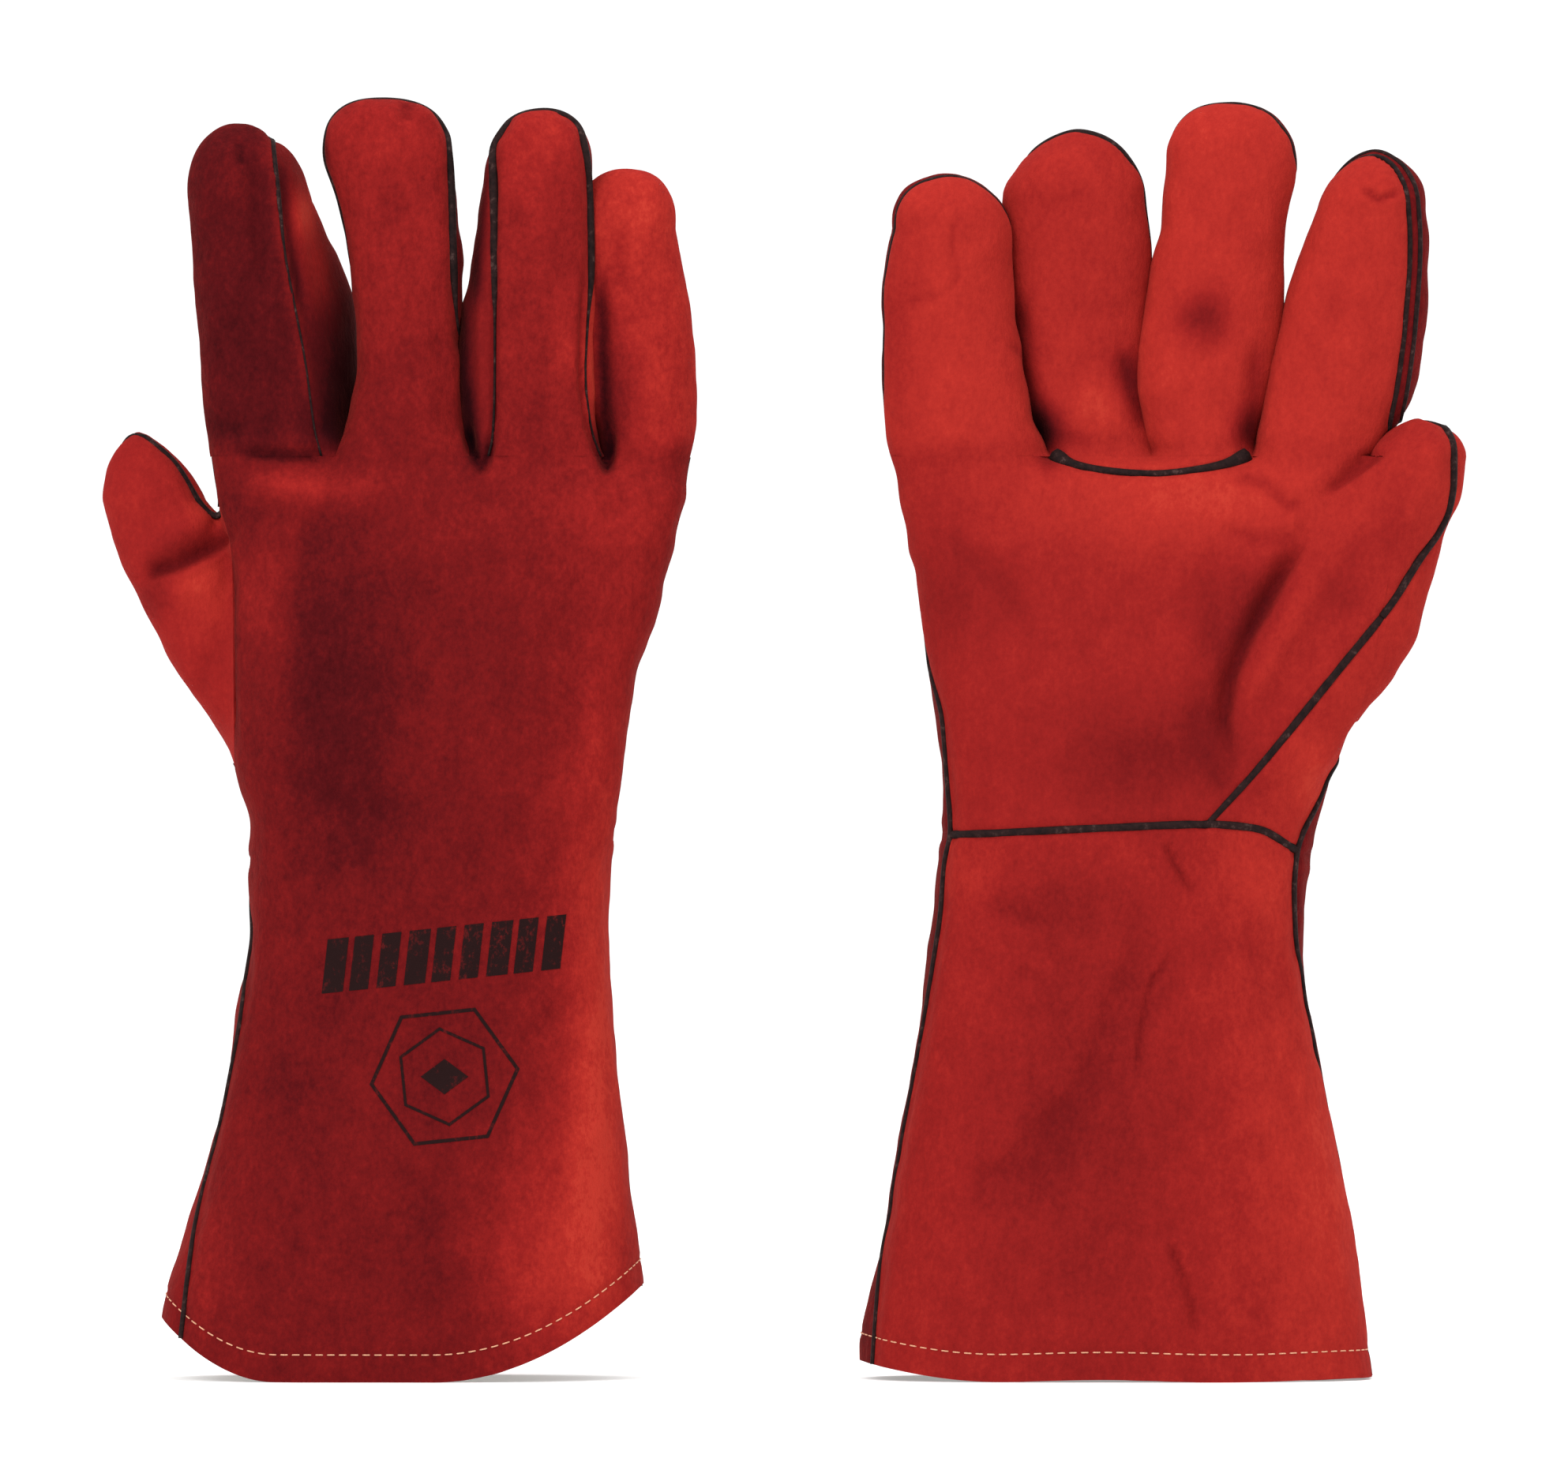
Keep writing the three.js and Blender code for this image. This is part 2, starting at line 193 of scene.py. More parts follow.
PALM_UP = dict(
    name="glove2", x0=PALM_UP_X, palm_to_camera=True,
    left=[
        (-10, 20), (12, 21.6), (36, 26.2), (60, 30.3), (84, 34.6), (108, 38), (132, 41.3),
        (156, 43), (180, 41.3), (204, 38.2), (228, 35), (240, 32.8),
    ],
    right=[
        (-10, 161.4), (12, 158.8), (36, 155.6), (60, 151.8), (84, 146.8), (108, 142.5),
        (124, 141.3), (144, 143.8), (168, 149.6), (204, 154), (228, 158), (240, 160),
    ],
    crown=(240, 96, 251.5, 3.4), side_seam_y=2.0,
    seam_left=[
        (-10, 23), (30, 26), (60, 30.8), (94, 37.4), (116, 41), (127, 42.6), (142, 43.8),
        (149, 45.4), (165, 44.3), (181, 43), (196, 38), (215, 25),
    ],
    seam_right=[
        (60, 165), (88, 147), (106, 142.5), (120, 139.3), (133, 138.8), (144, 139.6), (158, 145.8),
        (172, 152.6), (185, 162), (205, 190),
    ],
    digits=dict(
        index=dict(
            left=[
                (222, 132), (252, 127.5), (267, 130), (277, 132.2), (288, 135), (298, 137.4),
                (310, 141.2), (320, 145.6),
            ],
            right=[
                (222, 152), (240, 157.5), (251, 162), (262, 168.5), (268, 171.4), (280, 174),
                (292, 175.3), (310, 175.9), (320, 175.2),
            ],
            tip=(320, 162, 335.2, 1.7), depth=13.0, y=-1.5, seam_y=[(250, 3), (320, 0), (336, -4)],
            seam_tilt=-0.25,
            seam_right=[
                (240, 170), (250, 166), (256, 164.6), (271, 167.1), (288, 169.2), (310, 170.5),
                (323, 169.7), (331, 166.4), (335, 161),
            ],
            welt=[(250, 0.75), (330, 0.8)], second_welt=2.8,
        ),
        middle=dict(
            left=[
                (222, 106), (251, 101.6), (258, 98.6), (276, 95.5), (288, 97.3), (304, 99.8),
                (316, 103), (330, 104.2),
            ],
            right=[
                (222, 126), (256, 129.6), (267, 132.6), (278, 134.8), (288, 136.6), (304, 136.8),
                (316, 137.8), (330, 140.6),
            ],
            tip=(330, 121.6, 348.8, 2.35), depth=12.5, y=1.5,
            seam_y=[(250, 5), (322, 4.5), (342, 0)], seam_tilt=-0.15, welt=[(250, 0.7), (350, 1.0)],
        ),
        ring=dict(
            left=[(222, 74), (252, 70), (273, 64), (300, 60.6), (316, 59.6), (324, 59.8)],
            right=[
                (222, 98), (251, 102), (258, 101), (276, 99), (293, 99.8), (304, 101), (316, 99.5),
                (324, 98),
            ],
            tip=(324, 80.4, 340.8, 1.7), depth=12.0, y=4.5, seam_y=[(250, 8), (326, 7.5), (338, 5)],
            seam_tilt=-0.2, welt=[(250, 0.7), (326, 0.9), (336, 1.8), (342, 1.8)],
        ),
        little=dict(
            left=[
                (222, 36.6), (250, 30), (262, 27.7), (280, 26.3), (298, 26.1), (310, 27.8),
                (314, 28.8),
            ],
            right=[
                (222, 64), (254, 70.4), (262, 67.2), (273, 65.4), (284, 63.9), (299, 62.6),
                (314, 62),
            ],
            tip=(314, 43.6, 329.4, 2.0), depth=12.5, y=-2.0,
            seam_y=[(250, 0), (310, -3), (330, -5)], seam_tilt=0.12, welt=[(250, 0.8), (330, 0.95)],
        ),
        thumb=dict(
            left=[(160, 117), (181, 120), (202, 126.5), (226, 139), (240, 149.5), (252, 160)],
            right=[
                (160, 144), (168, 150.6), (180, 157), (192, 166.6), (204, 173.2), (216, 175.6),
                (228, 178.6), (240, 183.6), (252, 185.6),
            ],
            tip=(252, 173.6, 262.6, 1.6), depth=12.0, y=-8.0, seam_y=[(150, -4), (262, -5)],
            seam_right=THUMB_SEAM, welt=[(150, 1.1), (262, 1.25)],
        ),
    ),
    thumb_cut=[(140, 148.3), (251.4, 167.2), (252, 158), (262, 158)],
    thumb_tone_line=[(140, 148.3), (262, 169)],
    thumb_bend=(166.0, 184.0),
)

# Two seams across the palm, as (x, z) points.
WRIST_SEAM = [
    (20, 148), (45.6, 148.7), (87.7, 150.6), (115.7, 151.6), (128.7, 150.4), (139.5, 144.5),
    (150, 140),
]
ROOT_SEAM = [
    (69, 256.5), (72.5, 253), (78, 249.8), (88, 247.9), (100.6, 247.1), (113.6, 248.4),
    (123, 250.6), (129.5, 254.5),
]
GUSSET_Z = 150.0  # the thumb seam's groove starts above the wrist seam
PALM_REACH = 2.0  # how far the palm's grooves reach past the middle towards the back


def hem(glove, x):
    """Height of the hem's edge. The first glove's curves up to both sides, the second's waves."""
    if glove["palm_to_camera"]:
        start, reach, height = 62, 42, 4.5
        wave, wave_length = 0.35, 11
        rise = height * np.clip((start - x) / reach, 0, 1) ** 2
        return rise + wave * (1 + np.sin(x / wave_length))
    left, right = np.clip(-138 - x, 0, None), np.clip(x + 96, 0, None)
    left_curve, right_curve = 0.0165, 0.0079
    return left_curve * left**2 + right_curve * right**2


# ---------------------------------------------------------------- the leather surface


def line(points):
    """A smooth function through (at, value) points that never overshoots them."""
    at, value = np.array(sorted(points), float).T
    gap = np.diff(at)
    slope = np.diff(value) / gap
    tangent = np.zeros(len(at))
    tangent[0], tangent[-1] = slope[0], slope[-1]
    both = slope[:-1] * slope[1:]
    tangent[1:-1] = np.where(both > 0, 2 * both / np.where(both > 0, slope[:-1] + slope[1:], 1), 0)

    def evaluate(x):
        x = np.clip(x, at[0], at[-1])
        i = np.clip(np.searchsorted(at, x, side="right") - 1, 0, len(gap) - 1)
        t = (x - at[i]) / gap[i]
        return (
            value[i] * (1 + 2 * t) * (1 - t) ** 2
            + value[i + 1] * t * t * (3 - 2 * t)
            + gap[i] * t * (1 - t) * (tangent[i] * (1 - t) - tangent[i + 1] * t)
        )

    return evaluate


def smooth_step(low, high, x):
    t = np.clip((x - low) / (high - low), 0, 1)
    return t * t * (3 - 2 * t)


def smooth_min(a, b, reach):
    share = np.clip(1 - np.abs(a - b) / reach, 0, 1)
    return np.minimum(a, b) - share * share * reach / 4


def bell(distance, width):
    return np.exp(-((distance / width) ** 2))


def unit(vectors):
    return vectors / np.maximum(np.linalg.norm(vectors, axis=1), 1e-9)[:, None]


def lobe(left, right, depth, middle_y, tip, square, foot=None):
    """Distance to a tube of rounded slices between two edge lines, closed by a dome.

    depth is a number or a function of z. The tip is (dome's start, x, z, roundness). With a foot,
    the tube also closes below that height.
    """
    edge_left, edge_right = line(left), line(right)
    dome_z, tip_x, tip_z, round_ = tip
    centre_at_dome = (edge_left(dome_z) + edge_right(dome_z)) / 2

    def distance(x, y, z):
        xl, xr = edge_left(z), edge_right(z)
        rise = np.clip((z - dome_z) / (tip_z - dome_z), 0, None)
        half, deep = (xr - xl) / 2, depth(z) if callable(depth) else depth
        a = np.abs(x - (xl + xr) / 2 - (tip_x - centre_at_dome) * rise) / half
        b = np.abs(y - middle_y) / deep
        flat = np.maximum(a**square + b**square, 1e-6) ** (1 / square)
        steep_a = (a / flat) ** (square - 1) / half
        steep_b = (b / flat) ** (square - 1) / deep
        end, length = rise, tip_z - dome_z
        if foot is not None:
            sunk = np.clip((foot - z) / FOOT_LENGTH, 0, None)
            end = np.where(sunk > 0, sunk, rise)
            length = np.where(sunk > 0, FOOT_LENGTH, length)
        whole = np.maximum(flat**round_ + end**round_, 1e-6) ** (1 / round_)
        steep = (flat / whole) ** (2 * round_ - 2) * (steep_a**2 + steep_b**2)
        steep += ((end / whole) ** (round_ - 1) / length) ** 2
        return (whole - 1) / np.sqrt(steep)

    return distance


def fields(glove):
    """The distance functions of the glove's body, and of its fingers and thumb by name."""
    body = lobe(glove["left"], glove["right"], line(BODY_DEPTH), 0.0, glove["crown"], square=2.7)
    digits = {}
    for name, d in glove["digits"].items():
        square, foot = (2.2, 168) if name == "thumb" else (2.3, 228)
        digits[name] = lobe(d["left"], d["right"], d["depth"], d["y"], d["tip"], square, foot)
    return body, digits


def halved(a, b, c, d):
    """Quads, given by their corners, as triangles."""
    return np.concatenate([np.stack(t, -1).reshape(-1, 3) for t in ((a, b, c), (a, c, d))])


def surface_nets(field, origin, step):
    """The zero surface of a sampled field, as points and outward triangles."""
    # One point in each cell that the surface crosses, in the middle of the crossed edges.
    inside = field < 0
    cells = tuple(n - 1 for n in field.shape)
    offsets = list(product((0, 1), repeat=3))
    corner = [tuple(slice(o, o + n) for o, n in zip(off, cells)) for off in offsets]
    count = sum(inside[c].astype(np.uint8) for c in corner)
    active = (count > 0) & (count < 8)
    number = np.full(cells, -1)
    number[active] = np.arange(active.sum())
    values = np.stack([field[c][active] for c in corner], 1)
    place, crossings = np.zeros((len(values), 3)), np.zeros(len(values))
    for i, j in product(range(8), repeat=2):
        if i < j and sum(abs(p - q) for p, q in zip(offsets[i], offsets[j])) == 1:
            first, second = values[:, i], values[:, j]
            crossed = (first < 0) != (second < 0)
            t = np.where(crossed, first / np.where(crossed, first - second, 1), 0)[:, None]
            point = np.array(offsets[i]) * (1 - t) + np.array(offsets[j]) * t
            place += point * crossed[:, None]
            crossings += crossed
    points = origin + step * (np.argwhere(active) + place / crossings[:, None])

    # A quad round each grid edge that the surface crosses, between its four cells.
    quads = []
    for axis in range(3):
        b, c = [k for k in range(3) if k != axis]
        low, high = [slice(None)] * 3, [slice(None)] * 3
        low[axis], high[axis] = slice(0, -1), slice(1, None)
        first, second = inside[tuple(low)], inside[tuple(high)]
        at = np.argwhere(first != second)
        for side in (b, c):
            at = at[(at[:, side] > 0) & (at[:, side] < field.shape[side] - 1)]
        around = []
        for db, dc in ((-1, -1), (0, -1), (0, 0), (-1, 0)):
            cell = at.copy()
            cell[:, b] += db
            cell[:, c] += dc
            around.append(number[tuple(cell.T)])
        quad = np.stack(around, 1)
        leaving = first[tuple(at.T)]
        turned = leaving if axis != 1 else ~leaving
        quads.append(np.where(turned[:, None], quad, quad[:, ::-1]))
    return points, halved(*np.concatenate(quads).T)


def summed(index, vectors, count):
    """The sum of the vectors that carry each index."""
    return np.stack([np.bincount(index, column, count) for column in vectors.T], 1)


def edges_of(faces):
    """The directed edges of triangles, as (from, to) rows."""
    return np.concatenate([faces[:, [0, 1]], faces[:, [1, 2]], faces[:, [2, 0]]])


def normals_of(points, faces):
    a, b, c = (points[faces[:, k]] for k in range(3))
    return unit(summed(faces.ravel(), np.repeat(np.cross(b - a, c - a), 3, axis=0), len(points)))


def relaxed(points, faces, share):
    """Points moved a share of the way to the middle of their neighbours."""
    edges = edges_of(faces)
    start, end = np.concatenate([edges, edges[:, ::-1]]).T
    weight = np.bincount(start, minlength=len(points))
    middle = summed(start, points[end], len(points)) / np.maximum(weight, 1)[:, None]
    return points + share * (middle - points)


def surface(field, low, high, step, inset=0.0):
    """The surface of a distance function inside a box whose corners lie on the grid."""
    low, high = np.floor(np.array(low) / step) * step, np.ceil(np.array(high) / step) * step
    x, y, z = (np.arange(low[k], high[k] + step / 2, step) for k in range(3))
    values = field(x[:, None, None], y[None, :, None], z[None, None, :]) + inset
    points, faces = surface_nets(np.broadcast_to(values, (len(x), len(y), len(z))), low, step)
    for _ in range(3):
        points = relaxed(points, faces, 0.5)
        points -= normals_of(points, faces) * (field(*points.T) + inset)[:, None]
    return points, faces


# ---------------------------------------------------------------- folds, seams and dents


def to_path(x, z, path):
    """Distance in XZ to a path of (x, z) points, and where on it the nearest place lies.

    The second number goes from 0 to 1 along the path, the third is 1 on its left, -1 on its right.
    """
    path = np.array(path, float)
    lengths = np.linalg.norm(np.diff(path, axis=0), axis=1)
    start = np.concatenate([[0], np.cumsum(lengths)])
    best, along, side = np.full(np.shape(x), 1e9), np.zeros(np.shape(x)), np.ones(np.shape(x))
    for (ax, az), (bx, bz), length, s in zip(path[:-1], path[1:], lengths, start):
        dx, dz = bx - ax, bz - az
        t = np.clip(((x - ax) * dx + (z - az) * dz) / length**2, 0, 1)
        d = np.hypot(x - ax - t * dx, z - az - t * dz)
        near = d < best
        best = np.where(near, d, best)
        along = np.where(near, (s + t * length) / start[-1], along)
        side = np.where(near, np.sign(dx * (z - az) - dz * (x - ax)), side)
    return best, along, side


def ripple(points, size, seed):
    """Soft lumps of about that size, between about -1 and 1."""
    count = 16
    rng = np.random.default_rng(seed)
    waves = rng.normal(size=(count, 3))
    turns = 2 * math.pi / size * rng.uniform(0.6, 1.4, count)
    waves *= (turns / np.linalg.norm(waves, axis=1))[:, None]
    return np.sin(points @ waves.T + rng.uniform(0, 2 * math.pi, count)).sum(1) / math.sqrt(count)


# Each fold is (path of (x, z), depth, width, shade), where shade is painted shade along its
# groove, and a fold of no depth only paints a band of shade. A negative depth is a ridge, a
# negative shade a painted highlight. A fifth number makes it steep on the path's left (1) or right
# (-1), as where leather laps over. They lie on the camera's side.
STEEPER = 3
FOLDS = dict(
    glove1=dict(
        hand=[
            ([(-150.4, 172), (-150.6, 222)], 1.2, 1.2, 0.2),
            ([(-151, 253), (-138, 251.4), (-124, 251)], 1.3, 2.2, 0.2, -1),
            ([(-148, 245), (-134, 244), (-124, 240)], -1.1, 4.0, -0.12),
            ([(-126, 246), (-127, 236), (-130, 222)], 1.0, 5.0, 0.04),
            ([(-87, 262), (-85.4, 254), (-82.8, 248.8), (-81, 252), (-79.8, 258)], 1.2, 1.3, 0.26),
            ([(-82, 247), (-82, 238)], 0.9, 3.4, 0.06),
            ([(-52.4, 262), (-50.6, 254), (-48.6, 249), (-47.4, 254), (-47, 260)], 1.2, 1.2, 0.26),
            ([(-47, 247), (-45, 234)], 0.9, 3.4, 0.06),
            ([(-118, 120), (-126, 90), (-131, 50)], 0.9, 9.0, 0.03),
            ([(-66, 118), (-64, 80), (-62, 40)], 0.4, 6.0, 0.0),
            ([(-140, 168), (-120, 158), (-100, 156)], 0.6, 5.0, 0.05),
            ([(-132, 226), (-128, 196), (-132, 168)], 0.8, 6.0, 0.06),
            ([(-62, 222), (-56, 196), (-60, 168)], 0.6, 6.0, 0.03),
            ([(-100, 60), (-97, 38), (-99, 14)], 0.6, 6.0, 0.05),
        ],
        index=[
            ([(-146, 339), (-144.8, 328), (-143.8, 314), (-142.6, 298)], 1.4, 2.3, 0.05),
            ([(-140.4, 340), (-138.6, 326), (-136.6, 308), (-133.8, 292), (-131, 277),
              (-128.4, 260)], -1.0, 1.5, -0.14),
            ([(-152, 338), (-151, 320)], -0.6, 3.0, -0.04),
            ([(-139, 334), (-136.8, 318), (-134.6, 304), (-132, 290)], 1.2, 1.7, 0.22, -1),
            ([(-160, 262), (-146, 259)], 0.5, 3.0, 0.06),
            ([(-149, 338), (-148, 331)], 0.5, 1.2, 0.12),
        ],
        middle=[
            ([(-103.5, 349), (-103, 343)], 1.2, 2.0, 0.12),
            ([(-95, 292), (-93, 268), (-89, 256)], 0.7, 2.5, 0.03),
            ([(-112, 322), (-100, 318)], 0.4, 2.0, 0.05),
            ([(-126.8, 346), (-126, 330), (-121.8, 312), (-118, 290)], 0.0, 1.6, 0.42),
            ([(-91, 346), (-89.6, 326), (-88.6, 306), (-88.2, 284)], 0.0, 1.1, 0.26),
        ],
        ring=[
            ([(-82, 342), (-82.8, 322), (-84.6, 302), (-85, 290)], 0.0, 2.0, 0.4),
            ([(-89, 300), (-88, 274), (-86, 259), (-82.8, 247.5)], 0.0, 2.6, 0.46),
            ([(-79.8, 336), (-79.4, 290), (-79.8, 262), (-82.2, 247)], 1.0, 1.2, 0.16, -1),
            ([(-83.4, 300), (-83, 278), (-82.4, 262)], -0.6, 1.4, -0.06),
            ([(-52.4, 344), (-51.6, 326), (-51.2, 306)], 0.0, 1.3, 0.4),
            ([(-54.6, 304), (-55.8, 278), (-53.8, 260), (-49, 246)], 1.0, 1.0, 0.14, 1),
        ],
        little=[
            ([(-46, 318), (-45, 296)], 0.6, 2.4, 0.06),
            ([(-50.4, 304), (-49.6, 276), (-48.2, 244)], 1.0, 2.0, 0.4),
            ([(-36, 330), (-34, 312)], -0.4, 3.0, -0.02),
        ],
        thumb=[
            ([(-176, 219), (-165, 222), (-157, 226), (-150, 231)], 2.8, 3.6, 0.24, -1),
            ([(-170, 229), (-157, 237)], -1.0, 3.4, 0.0),
            ([(-170, 214), (-152, 221)], -1.2, 4.0, -0.08),
            ([(-160, 186), (-156, 200)], 0.6, 3.0, 0.04),
        ],
    ),
    glove2=dict(
        hand=[
            ([(142, 229.5), (133, 214), (126.5, 202), (122.2, 191), (120.4, 180), (122, 168)],
             2.8, 3.2, 0.2, 1),
            ([(136, 224), (128, 210), (120, 198), (115, 186), (114, 174)], 0.9, 5.0, 0.05),
            ([(149, 226), (139, 210), (131.5, 196), (127, 182)], -1.6, 4.2, -0.06),
            ([(164, 253), (156, 247), (147, 241)], 1.2, 2.4, 0.12, 1),
            ([(118, 233), (130, 229), (140, 229)], 0.6, 2.0, 0.06),
            ([(112, 222), (116, 206), (116, 192)], 0.8, 4.5, 0.05),
            ([(122, 247), (131, 244), (137, 238.5), (143, 239)], 0.9, 2.0, 0.12),
            ([(37, 233), (50, 226), (60, 217), (66, 204)], 0.5, 3.5, 0.05),
            ([(110, 186), (115, 172), (121, 158)], 0.8, 4.0, 0.08),
            ([(40, 46), (64, 61), (79, 79), (88, 96), (94, 114), (96, 132)], 0.9, 10.0, 0.06, 1),
            ([(105, 117), (99, 108), (96, 94), (95, 82)], 0.8, 1.6, 0.08, -1),
            ([(103, 148), (107, 139.6), (112, 132)], 1.0, 1.5, 0.1, 1),
            ([(54, 131), (66, 126), (76, 125)], 0.5, 2.4, 0.05),
            ([(62, 112), (72, 108)], 0.4, 1.5, 0.04),
            ([(104, 40), (109, 28), (112.5, 12)], 1.0, 1.8, 0.09, 1),
            ([(84, 44), (98, 40), (112, 43)], 0.4, 2.0, 0.03),
            ([(118, 120), (126, 92), (130, 60)], -1.0, 7.0, -0.04),
            ([(46, 120), (50, 92)], -0.6, 5.0, -0.02),
            ([(60, 228), (62, 206)], 0.35, 5.0, 0.02),
        ],
        index=[
            ([(157, 325), (162, 322), (168, 324)], 0.8, 1.0, 0.14),
            ([(147, 302), (152, 282)], 0.35, 2.5, 0.03),
        ],
        middle=[
            ([(104, 262), (112, 272)], 0.6, 3.0, 0.03),
            ([(129, 284), (128, 266), (127, 252)], 0.6, 2.4, 0.14),
        ],
        ring=[
            ([(63, 300), (65, 276), (69, 262), (74, 244)], 1.0, 2.6, 0.24),
            ([(92, 282), (95, 270), (99, 258)], 0.9, 2.4, 0.16),
            ([(70, 320), (82, 323)], 0.3, 2.0, 0.03),
        ],
        little=[
            ([(47, 320), (45.5, 310), (47, 300), (44, 296)], 0.5, 1.0, 0.07),
            ([(61, 283), (67, 278), (72, 273)], 0.9, 1.2, 0.1),
            ([(33, 294), (44, 296)], 0.3, 1.2, 0.05),
        ],
        thumb=[
            ([(168, 232), (176, 246), (177, 256)], -0.6, 3.0, -0.03),
        ],
    ),
)
# Each dent is (x, z, radius, depth).
DENTS = dict(
    glove1=[(-95, 195, 34, 1.6), (-105, 100, 30, 1.2), (-70, 60, 28, -0.8)],
    glove2=[
        (118, 185, 9, 2.6), (90, 200, 30, 1.4), (140, 238, 14, -1.0), (84, 86, 18, 1.2),
        (128, 70, 20, -0.8),
    ],
)
UNEVEN = ((0.45, 42, 3), (0.22, 15, 5), (0.07, 6, 7))  # (height, size, seed) of the ripples
SEAM_DEPTH, SEAM_WIDTH = 0.75, 1.3
SEAM_SHOULDER, SEAM_SHOULDER_AT, SEAM_SHOULDER_WIDTH = 0.25, 4, 2.2  # the swelling on both sides
STITCH_DENT, STITCH_DENT_WIDTH = 0.3, 1.0


def side_seam(glove, x, y, z):
    """Positive on the panel that faces the camera, zero on the seams down the body and hand."""
    value, reach = glove["side_seam_y"] - y, 9
    value = smooth_min(value, x - line(glove["seam_left"])(z), reach)
    if "seam_right" in glove:
        value = smooth_min(value, line(glove["seam_right"])(z) - x, reach)
    return value


def digit_seam(glove, digit, x, y, z):
    """The same for a finger or the thumb. Low down, a finger's seam runs into the body's."""
    d = glove["digits"][digit]
    middle = (line(d["left"])(z) + line(d["right"])(z)) / 2
    own = line(d["seam_y"])(z) + d.get("seam_tilt", 0.0) * (x - middle)
    share = 1 if digit == "thumb" else smooth_step(ROOT_Z, ROOT_Z + 22, z)
    value = own * share + glove["side_seam_y"] * (1 - share) - y
    if "seam_left" in d:
        value = np.minimum(value, x - line(d["seam_left"])(z))
    if "seam_right" in d:
        value = np.minimum(value, line(d["seam_right"])(z) - x)
    if "seam_far" in d:
        value = np.maximum(value, line(d["seam_far"])(z) - x)
    return value


def creases(glove, part, x, z):
    """How far the folds press the leather in, and how much shade is painted into their grooves."""
    folds = FOLDS[glove["name"]]
    if part == "hand":
        # The thumb's folds run on into the hand. Their painted shade shows only where the palm is
        # seen.
        wanted = folds["hand"] + [fold for finger in FINGERS for fold in folds[finger]]
        for path, depth, width, shade, *steep in folds["thumb"]:
            wanted.append((path, depth, width, shade * glove["palm_to_camera"], *steep))
    elif part == "thumb" and not glove["palm_to_camera"]:
        wanted = folds["thumb"]
    else:
        wanted = folds["hand"] + folds[part]
    press, dark = np.zeros(np.shape(x)), np.zeros(np.shape(x))
    for path, depth, width, shade, *steep in wanted:
        distance, along, side = to_path(x, z, path)
        if steep:
            distance = np.where(side == steep[0], distance * STEEPER, distance)
        ends = smooth_step(-0.02, 0.2, along) * smooth_step(-0.02, 0.2, 1 - along)
        groove, shoulder = bell(distance, width), bell(distance - 2 * width, width)
        press += depth * (0.2 + 0.8 * ends) * (groove - 0.35 * shoulder)
        dark += shade * ends * groove
    return press, dark


def sculpt(glove, part, points, faces, seams):
    """The smooth surface with its folds, dents, seam grooves and unevenness."""
    normal = normals_of(points, faces)
    x, _, z = points.T
    facing = smooth_step(0.1, 0.6, -normal[:, 1])
    move = sum(height * ripple(points, size, seed) for height, size, seed in UNEVEN)
    move -= facing * creases(glove, part, x, z)[0]
    for cx, cz, radius, depth in DENTS[glove["name"]]:
        move -= facing * depth * bell(np.hypot(x - cx, z - cz), radius)
    for value in seams:
        move -= SEAM_DEPTH * bell(value, SEAM_WIDTH)
        move += SEAM_SHOULDER * bell(np.abs(value) - SEAM_SHOULDER_AT, SEAM_SHOULDER_WIDTH)
    move -= STITCH_DENT * bell(z - hem(glove, x) - HEM_STITCH_LIFT, STITCH_DENT_WIDTH)
    moved = points + normal * move[:, None]
    d = glove["digits"].get(part, {})
    if "turned" in d:
        past = np.clip(x - line(d["seam_right"])(z), 0, None)
        moved[:, 1] += d["turned"] * past * smooth_step(ROOT_Z, ROOT_Z + 12, z)
    return moved


# ---------------------------------------------------------------- panels

SHORTEST_RUN = 6  # points on the shortest cut that is a seam


